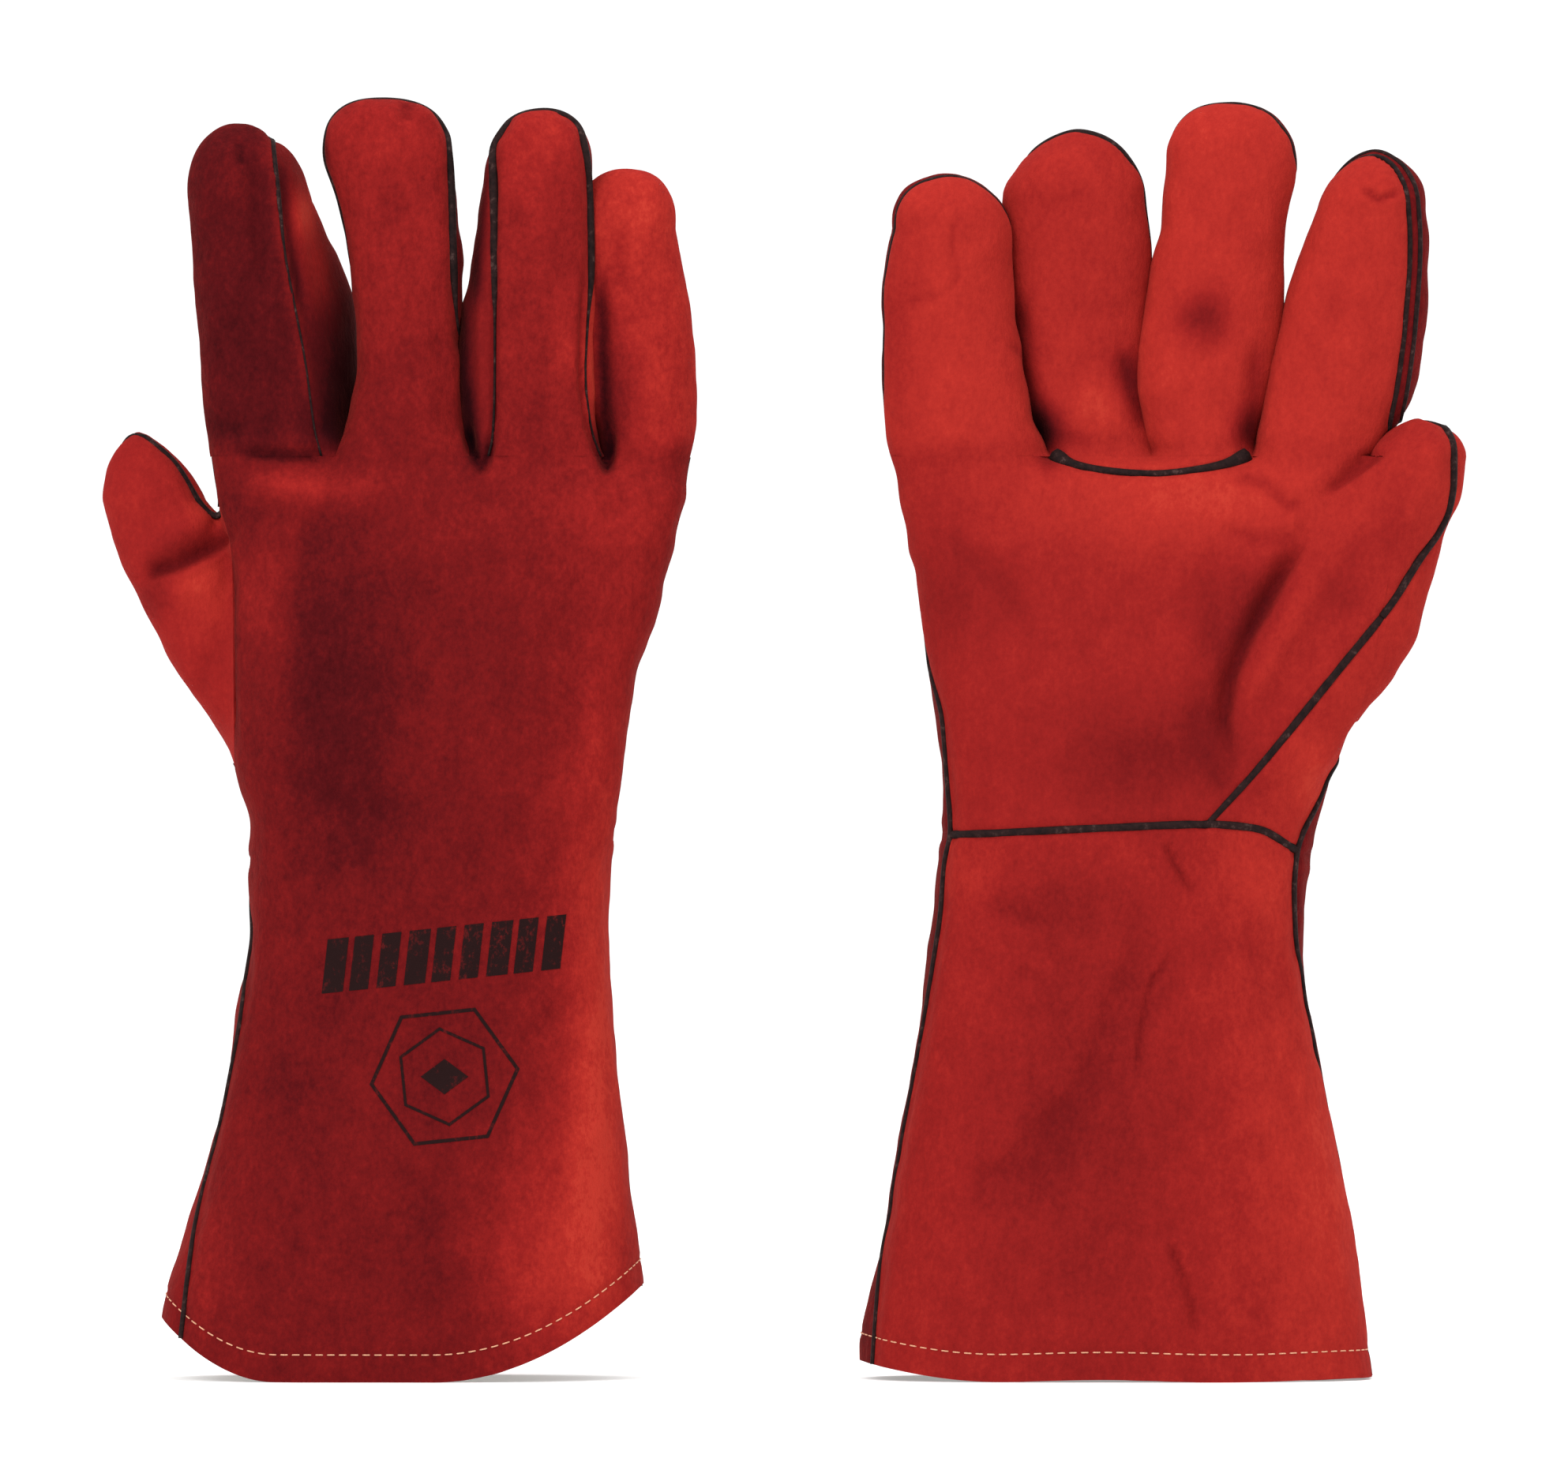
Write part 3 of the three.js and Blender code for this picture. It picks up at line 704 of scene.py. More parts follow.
class Sheet:
    """Triangles with a normal at each point."""

    def __init__(self, points, normals, faces):
        self.points, self.normals, self.faces = points, normals, faces

    def value(self, function):
        return function(*self.points.T)

    def clip(self, value):
        """The part where value is positive, and the cut edges as (from, to) rows of its points."""
        keep = value > 0
        corners = keep[self.faces]
        count = corners.sum(1)

        def rolled(number, pick):
            """The triangles with that number of kept corners, with the picked corner first."""
            faces, first = self.faces[count == number], pick(corners[count == number], 1)
            return np.stack([faces[np.arange(len(faces)), (first + k) % 3] for k in range(3)], 1)

        one, two = rolled(1, np.argmax), rolled(2, np.argmin)
        pairs = np.concatenate([one[:, [0, 1]], one[:, [0, 2]], two[:, [1, 0]], two[:, [2, 0]]])
        unique, index = np.unique(pairs, axis=0, return_inverse=True)
        index = index.ravel() + len(self.points)
        n1, n2 = len(one), len(two)
        to_b, to_c, from_b, from_c = np.split(index, [n1, 2 * n1, 2 * n1 + n2])
        a, b = unique.T
        t = (value[a] / (value[a] - value[b]))[:, None]
        both = (self.points, self.normals)
        points, normals = (np.concatenate([v, v[a] * (1 - t) + v[b] * t]) for v in both)
        tips = np.stack([one[:, 0], to_b, to_c], 1)
        bands = halved(two[:, 1], two[:, 2], from_c, from_b)
        faces = np.concatenate([self.faces[count == 3], tips, bands])
        cut = np.concatenate([np.stack([to_b, to_c], 1), np.stack([from_c, from_b], 1)])
        used = np.zeros(len(points), bool)
        used[faces.ravel()] = True
        renumber = np.cumsum(used) - 1
        sheet = Sheet(points[used], normals[used], renumber[faces])
        return sheet, renumber[cut[used[cut].all(1)]]

    def kept(self, value):
        """The part where value is positive."""
        return self.clip(value)[0]

    def split(self, value):
        """The positive part, the negative part, and the runs of points along the cut."""
        front, cut = self.clip(value)
        return front, self.kept(-value), front.runs(cut)

    def runs(self, cut):
        """The cut edges joined into runs of (points, normals)."""
        after = {int(a): int(b) for a, b in cut if a != b}
        heads = [a for a in after if a not in set(after.values())]
        runs = []
        while after:
            at = heads.pop() if heads else next(iter(after))
            run = [at]
            while at in after:
                at = after.pop(at)
                run.append(at)
            if len(run) > SHORTEST_RUN:
                runs.append((self.points[run], self.normals[run]))
        return runs

    def thick(self, thickness):
        """Points, triangles and corner normals of the sheet as a closed layer of leather."""
        n = len(self.points)
        out = unit(self.normals)
        points = np.concatenate([self.points, self.points - out * thickness])
        inner = self.faces[:, ::-1]
        start, end = edges_of(self.faces).T
        is_rim = ~np.isin(start * n + end, end * n + start)
        a, b = start[is_rim], end[is_rim]
        walls = halved(b, a, a + n, b + n)
        pa, pb, pc = (points[walls[:, k]] for k in range(3))
        flat = np.repeat(unit(np.cross(pb - pa, pc - pa)), 3, axis=0)
        corner = np.concatenate([out[self.faces].reshape(-1, 3), -out[inner].reshape(-1, 3), flat])
        return points, np.concatenate([self.faces, inner + n, walls]), corner


def new_mesh(name, points, faces, material, corner_normals=None, tone=None):
    """A Blender object from points in millimetres, with the attributes that the materials read."""
    place = (points * MM).astype(np.float32).ravel()
    mesh = bpy.data.meshes.new(name)
    mesh.vertices.add(len(points))
    mesh.vertices.foreach_set("co", place)
    mesh.loops.add(faces.size)
    mesh.loops.foreach_set("vertex_index", faces.astype(np.int32).ravel())
    mesh.polygons.add(len(faces))
    mesh.polygons.foreach_set("loop_start", np.arange(0, faces.size, 3, dtype=np.int32))
    mesh.update(calc_edges=True)
    mesh.polygons.foreach_set("use_smooth", np.ones(len(faces), bool))
    mesh.attributes.new("rest", "FLOAT_VECTOR", "POINT").data.foreach_set("vector", place)
    if tone is not None:
        values = mesh.attributes.new("tone", "FLOAT", "POINT").data
        values.foreach_set("value", tone.astype(np.float32))
    if corner_normals is not None:
        mesh.normals_split_custom_set(corner_normals.astype(np.float32))
    mesh.materials.append(material)
    obj = bpy.data.objects.new(name, mesh)
    bpy.context.scene.collection.objects.link(obj)
    return obj


def placed(obj, bodies, bend, slot, *nodes):
    """obj rides its body, or with two is baked in place; the CAD nodes it stands for are hidden."""
    if len(bodies) == 1:
        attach(obj, bodies[0])
    else:
        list(bodies)
        [c * MM for c in bend[0]]
        [c * MM for c in bend[1]]
        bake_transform(obj)
    if nodes:
        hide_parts(*nodes)


# ---------------------------------------------------------------- how bright the suede is

# How bright the suede is on the camera's side, its own tone with light and shade painted in: a
# plain tone for each part, then its soft patches, each (x, z, half width, half height, change of
# tone).
NAP_AND_PAINTED_LIGHT = dict(
    glove1=dict(
        hand=(0.59, [
            (-119, 180, 17, 44, -0.16),  # the dark heart of the hand: darker leather, painted shade
            (-44, 130, 22, 150, 0.19),  # painted light, brighter towards the little finger's side
            (-51, 88, 9, 66, 0.22),
            (-64, 34, 20, 34, 0.24),
            (-125, 244, 15, 5.5, 0.16),  # a painted highlight: the bright band over the knuckle
            (-142, 213, 9, 15, 0.14),
            (-78, 242, 26, 14, 0.07),
            (-148, 240, 7, 10, -0.09),
            (-40, 238, 12, 14, 0.08),
            (-158, 32, 10, 20, 0.10),
            (-92, 82, 14, 26, -0.05),
            (-134, 84, 12, 12, -0.05),
        ]),
        index=(0.45, [
            (-131, 319, 4.5, 10, 0.55),  # painted highlight atop the wall beside the middle finger
            (-127, 303, 5, 11, 0.28),
            (-120, 264, 6.5, 25, -0.38),  # painted shade: its near-black foot
            (-149, 280, 9, 24, -0.04),
            (-137, 336, 6, 5, 0.14),
        ]),
        middle=(0.72, [(-107, 264, 14, 20, -0.13), (-108, 340, 16, 12, 0.06)]),
        ring=(0.70, [
            (-66, 340, 14, 16, 0.14),
            (-68, 264, 10, 16, -0.06),
            (-84, 282, 4, 26, -0.10),
            (-52, 278, 3.2, 24, 0.32),
            (-60, 282, 4, 14, 0.10),
        ]),
        little=(0.86, [(-42, 322, 12, 12, 0.08), (-46, 268, 5.5, 20, -0.24)]),
        thumb=(0.80, [
            (-159, 214, 7, 9, 0.12),
            (-172, 213, 6, 6, -0.12),
            (-158, 239, 5, 7, 0.14),
            (-167, 228, 8, 5, -0.08),
        ]),
    ),
    glove2=dict(
        hand=(0.80, [
            (112, 242, 50, 15, 0.17),  # painted light: the bright top of the palm
            (100, 170, 24, 14, -0.16),  # painted shade: the dark hollow over the wrist
            (45, 214, 11, 12, -0.08),
            (123, 212, 9, 14, -0.09),
            (143, 164, 9, 14, 0.17),
            (158, 190, 10, 14, 0.08),
            (150, 216, 9, 8, -0.06),
            (148, 55, 18, 70, 0.16),
            (80, 70, 26, 55, -0.11),
            (128, 137, 12, 12, 0.12),
            (74, 131, 14, 8, -0.07),
            (50, 139, 10, 10, 0.08),
        ]),
        index=(0.91, []),
        middle=(0.92, [(114.5, 290, 7, 7, -0.30), (126, 258, 4, 7, -0.34)]),
        ring=(0.86, [
            (86, 265, 9, 8, 0.12),
            (69.5, 258, 5.5, 7, -0.66),
            (95, 273, 5, 8, -0.20),
            (78, 256, 6, 3, -0.14),
        ]),
        little=(0.91, [(30, 292, 6, 30, -0.08)]),
        thumb=(0.87, [(160, 232, 11, 11, -0.09), (184, 240, 5, 12, 0.06)]),
    ),
)
BACK_TONE, PALM_TONE = 0.62, 0.84  # away from the camera
BACK_BESIDE_PALM = 0.6  # the share of light left on back leather where it shows beside the palm


def nap_and_light_tone(area, x, z):
    """How bright one part's suede is at each point, with its painted light and shade."""
    plain, patches = area
    tone = np.full(np.shape(x), plain)
    for cx, cz, width, height, change in patches:
        tone += change * bell(x - cx, width) * bell(z - cz, height)
    return tone


def tone_with_painted_light(glove, part, is_back, points, normals):
    """How bright the leather is at each point: patched, with painted light and shade, on the
    camera's side, and plain elsewhere.
    """
    x, _, z = points.T
    nap_and_light = NAP_AND_PAINTED_LIGHT[glove["name"]]
    near = nap_and_light_tone(nap_and_light["hand"], x, z)
    if part in FINGERS:
        share = smooth_step(ROOT_Z - 2, ROOT_Z + 8, z)
        near += (nap_and_light_tone(nap_and_light[part], x, z) - near) * share
    elif not is_back:
        on_thumb = 1.0 if part == "thumb" else 0.0
        if "thumb_tone_line" in glove:
            beyond = x - line(glove["thumb_tone_line"])(z)
            on_thumb = smooth_step(-7, 7, beyond) * smooth_step(150, 170, z)
        near += (nap_and_light_tone(nap_and_light["thumb"], x, z) - near) * on_thumb
    if is_back and glove["palm_to_camera"]:
        near *= BACK_BESIDE_PALM
    # Painted shade in the folds' grooves.
    near -= creases(glove, part, x, z)[1]
    plain = (BACK_TONE if is_back else PALM_TONE) + 0.05 * ripple(points, 60, 11)
    return plain + (near - plain) * smooth_step(-0.35, 0.25, -normals[:, 1])


# ---------------------------------------------------------------- materials


def linear(*srgb):
    """An sRGB colour from 0 to 255 as the linear colour that the shaders take."""
    shares = (v / 255 for v in srgb)
    return (*(c / 12.92 if c <= 0.04045 else ((c + 0.055) / 1.055) ** 2.4 for c in shares), 1.0)


class Nodes:
    """A material's node tree with short ways to add to it. Sizes are in millimetres."""

    def __init__(self, name):
        self.material = bpy.data.materials.new(name)
        self.material.use_nodes = True
        self.tree = self.material.node_tree
        self.tree.nodes.clear()
        self.shader = self.add("ShaderNodeBsdfPrincipled")
        output = self.add("ShaderNodeOutputMaterial")
        self.put(output.inputs["Surface"], self.shader.outputs[0])
        self.rest = self.attribute("rest", "Vector")

    def add(self, kind, **settings):
        node = self.tree.nodes.new(kind)
        for key, value in settings.items():
            setattr(node, key, value)
        return node

    def put(self, socket, value):
        """A number or colour is set on the socket, an output is linked to it."""
        if isinstance(value, bpy.types.NodeSocket):
            self.tree.links.new(value, socket)
        else:
            socket.default_value = value

    def attribute(self, name, output):
        return self.add("ShaderNodeAttribute", attribute_name=name).outputs[output]

    def math(self, operation, *values):
        node = self.add("ShaderNodeMath", operation=operation)
        for socket, value in zip(node.inputs, values):
            self.put(socket, value)
        return node.outputs[0]

    def added(self, total, *terms):
        """The total plus each (output, amount) multiplied."""
        for source, amount in terms:
            total = self.math("ADD", total, self.math("MULTIPLY", source, amount))
        return total

    def noise(self, size, detail, roughness, stretch=(1, 1, 1)):
        """Noise from 0 to 1 with features of that size."""
        mapping = self.add("ShaderNodeMapping")
        self.put(mapping.inputs["Vector"], self.rest)
        self.put(mapping.inputs["Scale"], [1 / (size * MM * s) for s in stretch])
        node = self.add("ShaderNodeTexNoise")
        self.put(node.inputs["Vector"], mapping.outputs[0])
        self.put(node.inputs["Scale"], 1.0)
        self.put(node.inputs["Detail"], detail)
        self.put(node.inputs["Roughness"], roughness)
        return node.outputs["Fac"]

    def ramp(self, value, stops):
        node = self.add("ShaderNodeValToRGB")
        elements = node.color_ramp.elements
        while len(elements) < len(stops):
            elements.new(0.5)
        for element, (at, colour) in zip(elements, stops):
            element.position, element.color = at, colour
        self.put(node.inputs["Fac"], value)
        return node.outputs["Color"]

    def mix(self, share, a, b):
        node = self.add("ShaderNodeMix", data_type="RGBA")
        for socket, value in zip(("Factor", 6, 7), (share, a, b)):
            self.put(node.inputs[socket], value)
        return node.outputs[2]

    def bump(self, height, distance, strength):
        node = self.add("ShaderNodeBump")
        self.put(node.inputs["Strength"], strength)
        self.put(node.inputs["Distance"], distance * MM)
        self.put(node.inputs["Height"], height)
        self.put(self.shader.inputs["Normal"], node.outputs[0])

    def finished(self, colour, roughness, **more):
        """The material, with its shader's inputs set. Other inputs are named with underscores."""
        self.put(self.shader.inputs["Base Color"], colour)
        self.put(self.shader.inputs["Roughness"], roughness)
        for name, value in more.items():
            self.put(self.shader.inputs[name.replace("_", " ")], value)
        return self.material


LIGHT = 1.62  # how much the studio light brightens a surface that faces the camera
SUEDE_TONES = [
    (0.0, (16, 3, 7)),
    (0.25, (48, 9, 14)),
    (0.46, (92, 18, 22)),
    (0.64, (128, 26, 27)),
    (0.8, (161, 36, 34)),
    (0.95, (191, 50, 42)),
    (1.0, (203, 60, 48)),
]


def suede_colour(n, mottle):
    """The dyed split's colour: brighter where the tone is higher, clouded and freckled. The tone
    carries painted light and shade.
    """
    cloud = n.noise(26, 3, 0.6)
    patch = n.noise(6.5, 4, 0.62, stretch=(1, 1, 1.7))
    fleck = n.noise(1.5, 3, 0.75, stretch=(1, 1, 1.3))
    value = n.attribute("tone", "Fac")
    for source, amount in ((cloud, 0.08), (patch, 0.20), (fleck, 0.26)):
        value = n.added(value, (n.math("SUBTRACT", source, 0.5), amount * mottle))
    stops = [(at, (*(c / LIGHT for c in linear(*rgb)[:3]), 1.0)) for at, rgb in SUEDE_TONES]
    return n.ramp(value, stops), patch, fleck


def suede(name, roughness, mottle):
    n = Nodes(name)
    colour, patch, _ = suede_colour(n, mottle)
    grain = n.noise(0.55, 3, 0.7)
    fibre = n.noise(1.6, 3, 0.65, stretch=(1, 1, 2.2))
    n.bump(n.added(fibre, (patch, 1.2), (grain, 0.55)), 0.40, 0.8)
    sheen = dict(Sheen_Weight=0.10, Sheen_Roughness=0.42, Sheen_Tint=(1.0, 0.16, 0.12, 1.0))
    uneven = n.added(roughness - 0.06, (patch, 0.12))
    return n.finished(colour, uneven, Specular_IOR_Level=0.02, **sheen)


def ink(name):
    """Black stamped ink, worn through to the suede in flecks."""
    n = Nodes(name)
    leather, patch, fleck = suede_colour(n, 1.3)
    wear = n.added(0.0, (patch, 0.6), (fleck, 0.9))
    worn = n.ramp(wear, [(0.80, (0, 0, 0, 1)), (1.05, (1, 1, 1, 1))])
    n.bump(n.noise(0.6, 3, 0.7), 0.2, 0.6)
    colour = n.mix(n.math("MULTIPLY", worn, 0.5), (0.012, 0.004, 0.004, 1), leather)
    return n.finished(colour, 0.8, Specular_IOR_Level=0.06)


def welt_leather(name):
    """The dark welt strip: blackish brown with grey rubbed edges."""
    n = Nodes(name)
    stops = [(0.35, linear(16, 6, 6)), (0.58, linear(34, 17, 16)), (0.78, linear(78, 58, 54))]
    n.bump(n.noise(0.7, 3, 0.7), 0.2, 0.7)
    return n.finished(n.ramp(n.noise(2.2, 4, 0.7), stops), 0.78, Specular_IOR_Level=0.12)


def thread(name):
    n = Nodes(name)
    ply = n.noise(0.35, 2, 0.6)
    n.bump(ply, 0.1, 0.8)
    return n.finished(n.ramp(ply, [(0.3, linear(176, 112, 84)), (0.7, linear(224, 168, 132))]), 0.6)


def fleece(name):
    """Off-white lining with a soft pile."""
    n = Nodes(name)
    pile = n.noise(0.9, 4, 0.75)
    n.bump(pile, 0.5, 0.9)
    colour = n.ramp(pile, [(0.25, linear(168, 158, 140)), (0.75, linear(226, 219, 202))])
    return n.finished(colour, 0.95, Sheen_Weight=0.3)


def drill(name):
    """Unbleached cotton drill: a diagonal twill."""
    n = Nodes(name)
    wave = n.add("ShaderNodeTexWave", wave_type="BANDS", bands_direction="DIAGONAL")
    n.put(wave.inputs["Vector"], n.rest)
    n.put(wave.inputs["Scale"], 1 / (3.2 * MM))
    n.put(wave.inputs["Distortion"], 0.6)
    value = n.added(0.0, (wave.outputs["Fac"], 0.4), (n.noise(1.4, 3, 0.6), 0.6))
    n.bump(value, 0.2, 0.8)
    colour = n.ramp(value, [(0.2, linear(150, 136, 110)), (0.8, linear(214, 201, 174))])
    return n.finished(colour, 0.9)


# ---------------------------------------------------------------- welts, stitches and print

WELT_SPACING, WELT_LIFT = 1.1, 0.1
STITCH_SPACING, STITCH, STITCH_GAP, THREAD_RADIUS = 0.4, 2.6, 0.7, 0.19
INK, INK_LIFT, INK_CELL = 0.1, 0.12, 0.8  # its thickness, height over the leather and grid


def resampled(points, normals, spacing, smoothing):
    """A run at even spacing, smoothed along its length."""
    closed = np.linalg.norm(points[0] - points[-1]) < 1e-6
    lengths = np.linalg.norm(np.diff(points, axis=0), axis=1)
    keep = np.concatenate([[True], lengths > 1e-6])
    points, normals = points[keep], normals[keep]
    lengths = np.linalg.norm(np.diff(points, axis=0), axis=1)
    at = np.concatenate([[0], np.cumsum(lengths)])
    target = np.linspace(0, at[-1], max(int(at[-1] / spacing), 4) + 1)
    columns = np.concatenate([points, normals], 1).T
    both = np.stack([np.interp(target, at, column) for column in columns], 1)
    for _ in range(smoothing):
        if closed:
            ring = both[:-1]
            ring = (np.roll(ring, 1, 0) + 2 * ring + np.roll(ring, -1, 0)) / 4
            both = np.concatenate([ring, ring[:1]])
        else:
            both[1:-1] = (both[:-2] + 2 * both[1:-1] + both[2:]) / 4
    return both[:, :3], unit(both[:, 3:])


def bead(points, normals, radius, lift, flat, sides):
    """A tube along a run, lifted off the surface. radius and lift have a number for each point."""
    along = unit(np.gradient(points, axis=0))
    up = unit(normals - along * (normals * along).sum(1)[:, None])
    across = np.cross(along, up)
    angle = np.arange(sides) * 2 * math.pi / sides
    centre = points + up * lift[:, None]
    reach = radius[:, None, None]
    ring = (
        centre[:, None]
        + across[:, None] * (np.cos(angle)[:, None] * reach)
        + up[:, None] * (np.sin(angle)[:, None] * reach * flat)
    )
    n = len(points)
    index = np.arange(n * sides).reshape(n, sides)
    turned = np.roll(index, -1, 1)
    walls = halved(index[:-1], turned[:-1], turned[1:], index[1:])
    first = np.stack([np.full(sides, n * sides), turned[0], index[0]], 1)
    last = np.stack([np.full(sides, n * sides + 1), index[-1], turned[-1]], 1)
    points = np.concatenate([ring.reshape(-1, 3), centre[:1], centre[-1:]])
    return points, np.concatenate([walls, first, last])


def gathered(parts):
    """Several (points, faces) as one."""
    points, faces, start = [], [], 0
    for p, f in parts:
        points.append(p)
        faces.append(f + start)
        start += len(p)
    return np.concatenate(points), np.concatenate(faces)


def welt(runs, radius_at):
    """Beads along several runs."""
    parts = []
    for run in runs:
        points, normals = resampled(*run, WELT_SPACING, smoothing=6)
        radius = radius_at(points[:, 2])
        lift = np.full(len(points), WELT_LIFT)
        parts.append(bead(points, normals, radius, lift, flat=0.8, sides=8))
    return gathered(parts)


def stitches(run):
    """Stitches along a run, each a short rounded tube that dips into the leather at both ends."""
    points, normals = resampled(*run, STITCH_SPACING, smoothing=3)
    steps = round(STITCH / STITCH_SPACING)
    parts = []
    for start in range(0, len(points) - steps, round((STITCH + STITCH_GAP) / STITCH_SPACING)):
        part = slice(start, start + steps + 1)
        t = np.linspace(-1, 1, steps + 1)
        radius = THREAD_RADIUS * np.sqrt(np.clip(1.02 - t**8, 0.05, 1))
        lift = 0.16 - 0.34 * t**6
        parts.append(bead(points[part], normals[part], radius, lift, flat=0.9, sides=6))
    return gathered(parts)


def bar(corners):
    """A filled four-sided shape as (points in XZ, triangles)."""
    a, b, c, d = np.array(corners, float)
    nu, nv = (max(2, int(np.linalg.norm(side) / INK_CELL)) for side in (b - a, d - a))
    u, v = np.meshgrid(np.linspace(0, 1, nu + 1), np.linspace(0, 1, nv + 1), indexing="ij")
    u, v = u[..., None], v[..., None]
    grid = (1 - u) * (1 - v) * a + u * (1 - v) * b + u * v * c + (1 - u) * v * d
    index = np.arange((nu + 1) * (nv + 1)).reshape(nu + 1, nv + 1)
    faces = halved(index[:-1, :-1], index[1:, :-1], index[1:, 1:], index[:-1, 1:])
    return grid.reshape(-1, 2), faces


def hexagon(centre, radius, width, turn):
    """The outline of a hexagon as six bars, mitred at the corners."""

    def corner(k, r):
        angle = turn + k * math.pi / 3
        return (centre[0] + r * math.cos(angle), centre[1] + r * math.sin(angle))

    inner = radius - width
    return [
        bar([corner(k, inner), corner(k, radius), corner(k + 1, radius), corner(k + 1, inner)])
        for k in range(6)
    ]


def stamp():
    """The plain ink shapes on a cuff: slanted bars, and a hexagon round a diamond."""
    tilt, slant = math.radians(6), 0.22
    left, low, count, pitch, height = -126.0, 105.5, 9, 7.5, 14.5
    shapes = []
    for k in range(count):
        width = 5.2 if k % 3 else 5.8
        corners = []
        for u, v in ((0, 0), (width, 0), (width, height), (0, height)):
            x, z = k * pitch + u + slant * v, v
            corners.append((
                left + x * math.cos(tilt) - z * math.sin(tilt),
                low + x * math.sin(tilt) + z * math.cos(tilt),
            ))
        shapes.append(bar(corners))
    x, z = centre = (-92.5, 83.0)
    shapes += hexagon(centre, 20.5, 1.1, math.radians(6))
    shapes += hexagon(centre, 13.5, 0.9, math.radians(36))
    half_width, half_height = 6.5, 4.8
    diamond = [(x - half_width, z), (x, z - half_height), (x + half_width, z), (x, z + half_height)]
    return [*shapes, bar(diamond)]


def on_surface(tree, shapes):
    """Flat XZ shapes laid on the side of a surface that faces the camera."""
    flat, faces = gathered(shapes)
    in_front, ahead = -80, Vector((0, 1, 0))
    hits = [tree.ray_cast(Vector((x, in_front, z)), ahead) for x, z in flat]
    points = np.array([hit[0] for hit in hits])
    normals = np.array([hit[1] if hit[1].y < 0 else -hit[1] for hit in hits])
    return Sheet(points + normals * INK_LIFT, normals, faces)


# ---------------------------------------------------------------- one glove


def build(glove, materials):
    """Makes all the pieces of a glove and returns the whole surface of its leather."""
    name, x0, palm_up = glove["name"], glove["x0"], glove["palm_to_camera"]
    body, digits = fields(glove)
    thumb_cut, thumb_way = line(glove["thumb_cut"]), 1 if palm_up else -1
    wrist_line, root_line, thumb_line = line(WRIST_SEAM), line(ROOT_SEAM), line(THUMB_SEAM)

    def hand_field(x, y, z):
        fingers = reduce(np.minimum, (digits[finger](x, y, z) for finger in FINGERS))
        hand = smooth_min(body(x, y, z), fingers, FUSE)
        return smooth_min(hand, digits["thumb"](x, y, z), FUSE)

    def digit_field(digit):
        return lambda x, y, z: smooth_min(body(x, y, z), digits[digit](x, y, z), FUSE)

    def digit_box(digit):
        d = glove["digits"][digit]
        left, right = min(x for _, x in d["left"]), max(x for _, x in d["right"])
        foot, top = 148 if digit == "thumb" else 238, d["tip"][2] + 4
        return (left - 12, -26, foot), (right + 12, 28, top)

    def palm_up_x(x):
        """x as it is on the palm-up glove, where the palm's seams are drawn."""
        return x if palm_up else PALM_UP_X - (x - BACK_UP_X)

    def wrist_value(x, y, z):
        return z - wrist_line(palm_up_x(x))

    def root_value(x, y, z):
        """Positive below the seam at the root of the middle and ring fingers."""
        u = palm_up_x(x)
        return np.where((u > ROOT_SEAM[0][0]) & (u < ROOT_SEAM[-1][0]), root_line(u) - z, AWAY)

    def gusset_value(x, y, z):
        """Positive on the thumb's outer piece, beyond the thumb seam."""
        return palm_up_x(x) - thumb_line(z)

    def thumb_value(x, y, z):
        """Positive on the thumb, beyond its crease."""
        return np.minimum(thumb_way * (x - thumb_cut(z)), z - THUMB_Z)

    def side_value(x, y, z):
        return side_seam(glove, x, y, z)

    def digit_value(digit):
        return lambda x, y, z: digit_seam(glove, digit, x, y, z)

    def hand_groove(x, y, z):
        """The seams that go all the way round: the hand's, or on the thumb its own."""
        on_thumb = thumb_value(x, y, z) > 0
        return np.where(on_thumb, digit_seam(glove, "thumb", x, y, z), side_seam(glove, x, y, z))

    def palm_groove(value, foot=-AWAY):
        """A seam of the palm as a groove: above the foot and on the palm's side only."""

        def groove(x, y, z):
            on_palm = y < PALM_REACH if palm_up else y > -PALM_REACH
            return np.where(on_palm & (z > foot), value(x, y, z), AWAY)

        return groove

    def finger_groove(digit):
        return lambda x, y, z: np.where(z > ROOT_Z - 2, digit_seam(glove, digit, x, y, z), AWAY)

    def shell(part, field, box, grooves=(), step=STEP, inset=0.0):
        """The sculpted surface of one part."""
        points, faces = surface(field, *box, step, inset)
        points = sculpt(glove, part, points, faces, [groove(*points.T) for groove in grooves])
        return Sheet(points, normals_of(points, faces), faces)

    def over_hem(sheet, lift=0.0):
        return sheet.points[:, 2] - hem(glove, sheet.points[:, 0]) - lift

    def named(*pieces):
        return [f"{name}_{piece}" for piece in pieces]

    def joint(bodies, start, end):
        """The bodies that a piece lies between, and where a bend between them would start and end.
        """
        return named(*bodies), (start, end)

    wrist = joint(("cuff", "hand"), (x0, 0, WRIST_BEND[0]), (x0, 0, WRIST_BEND[1]))
    ball = joint(("hand", "thumb"), *((x, 0, THUMB_BEND_Z) for x in glove["thumb_bend"]))
    roots = {
        finger: joint(("hand", finger), (x0, 0, ROOT_Z), (x0, 0, ROOT_Z + ROOT_BEND))
        for finger in FINGERS
    }

    def leather(piece, part, sheet, is_back, where, nodes, slot):
        points, faces, corner = sheet.thick(LEATHER)
        # The tone carries painted light and shade on the camera's side.
        tone = tone_with_painted_light(glove, part, is_back, sheet.points, sheet.normals)
        both_sides = np.concatenate([tone, tone])
        obj = new_mesh(*named(piece), points, faces, materials[slot], corner, both_sides)
        placed(obj, *where, slot, *named(*nodes))

    def welting(piece, runs, radii, where, nodes):
        """A welt whose radius follows (z, radius) points."""
        points, faces = welt(runs, line(radii))
        obj = new_mesh(*named(piece), points, faces, materials["welt"])
        placed(obj, *where, "welt", *named(*nodes))

    def inner(piece, sheet, material, where, node):
        points, faces, corner = sheet.thick(LINING)
        obj = new_mesh(*named(piece), points, faces, materials[material], corner)
        placed(obj, *where, "lining", *named(node))

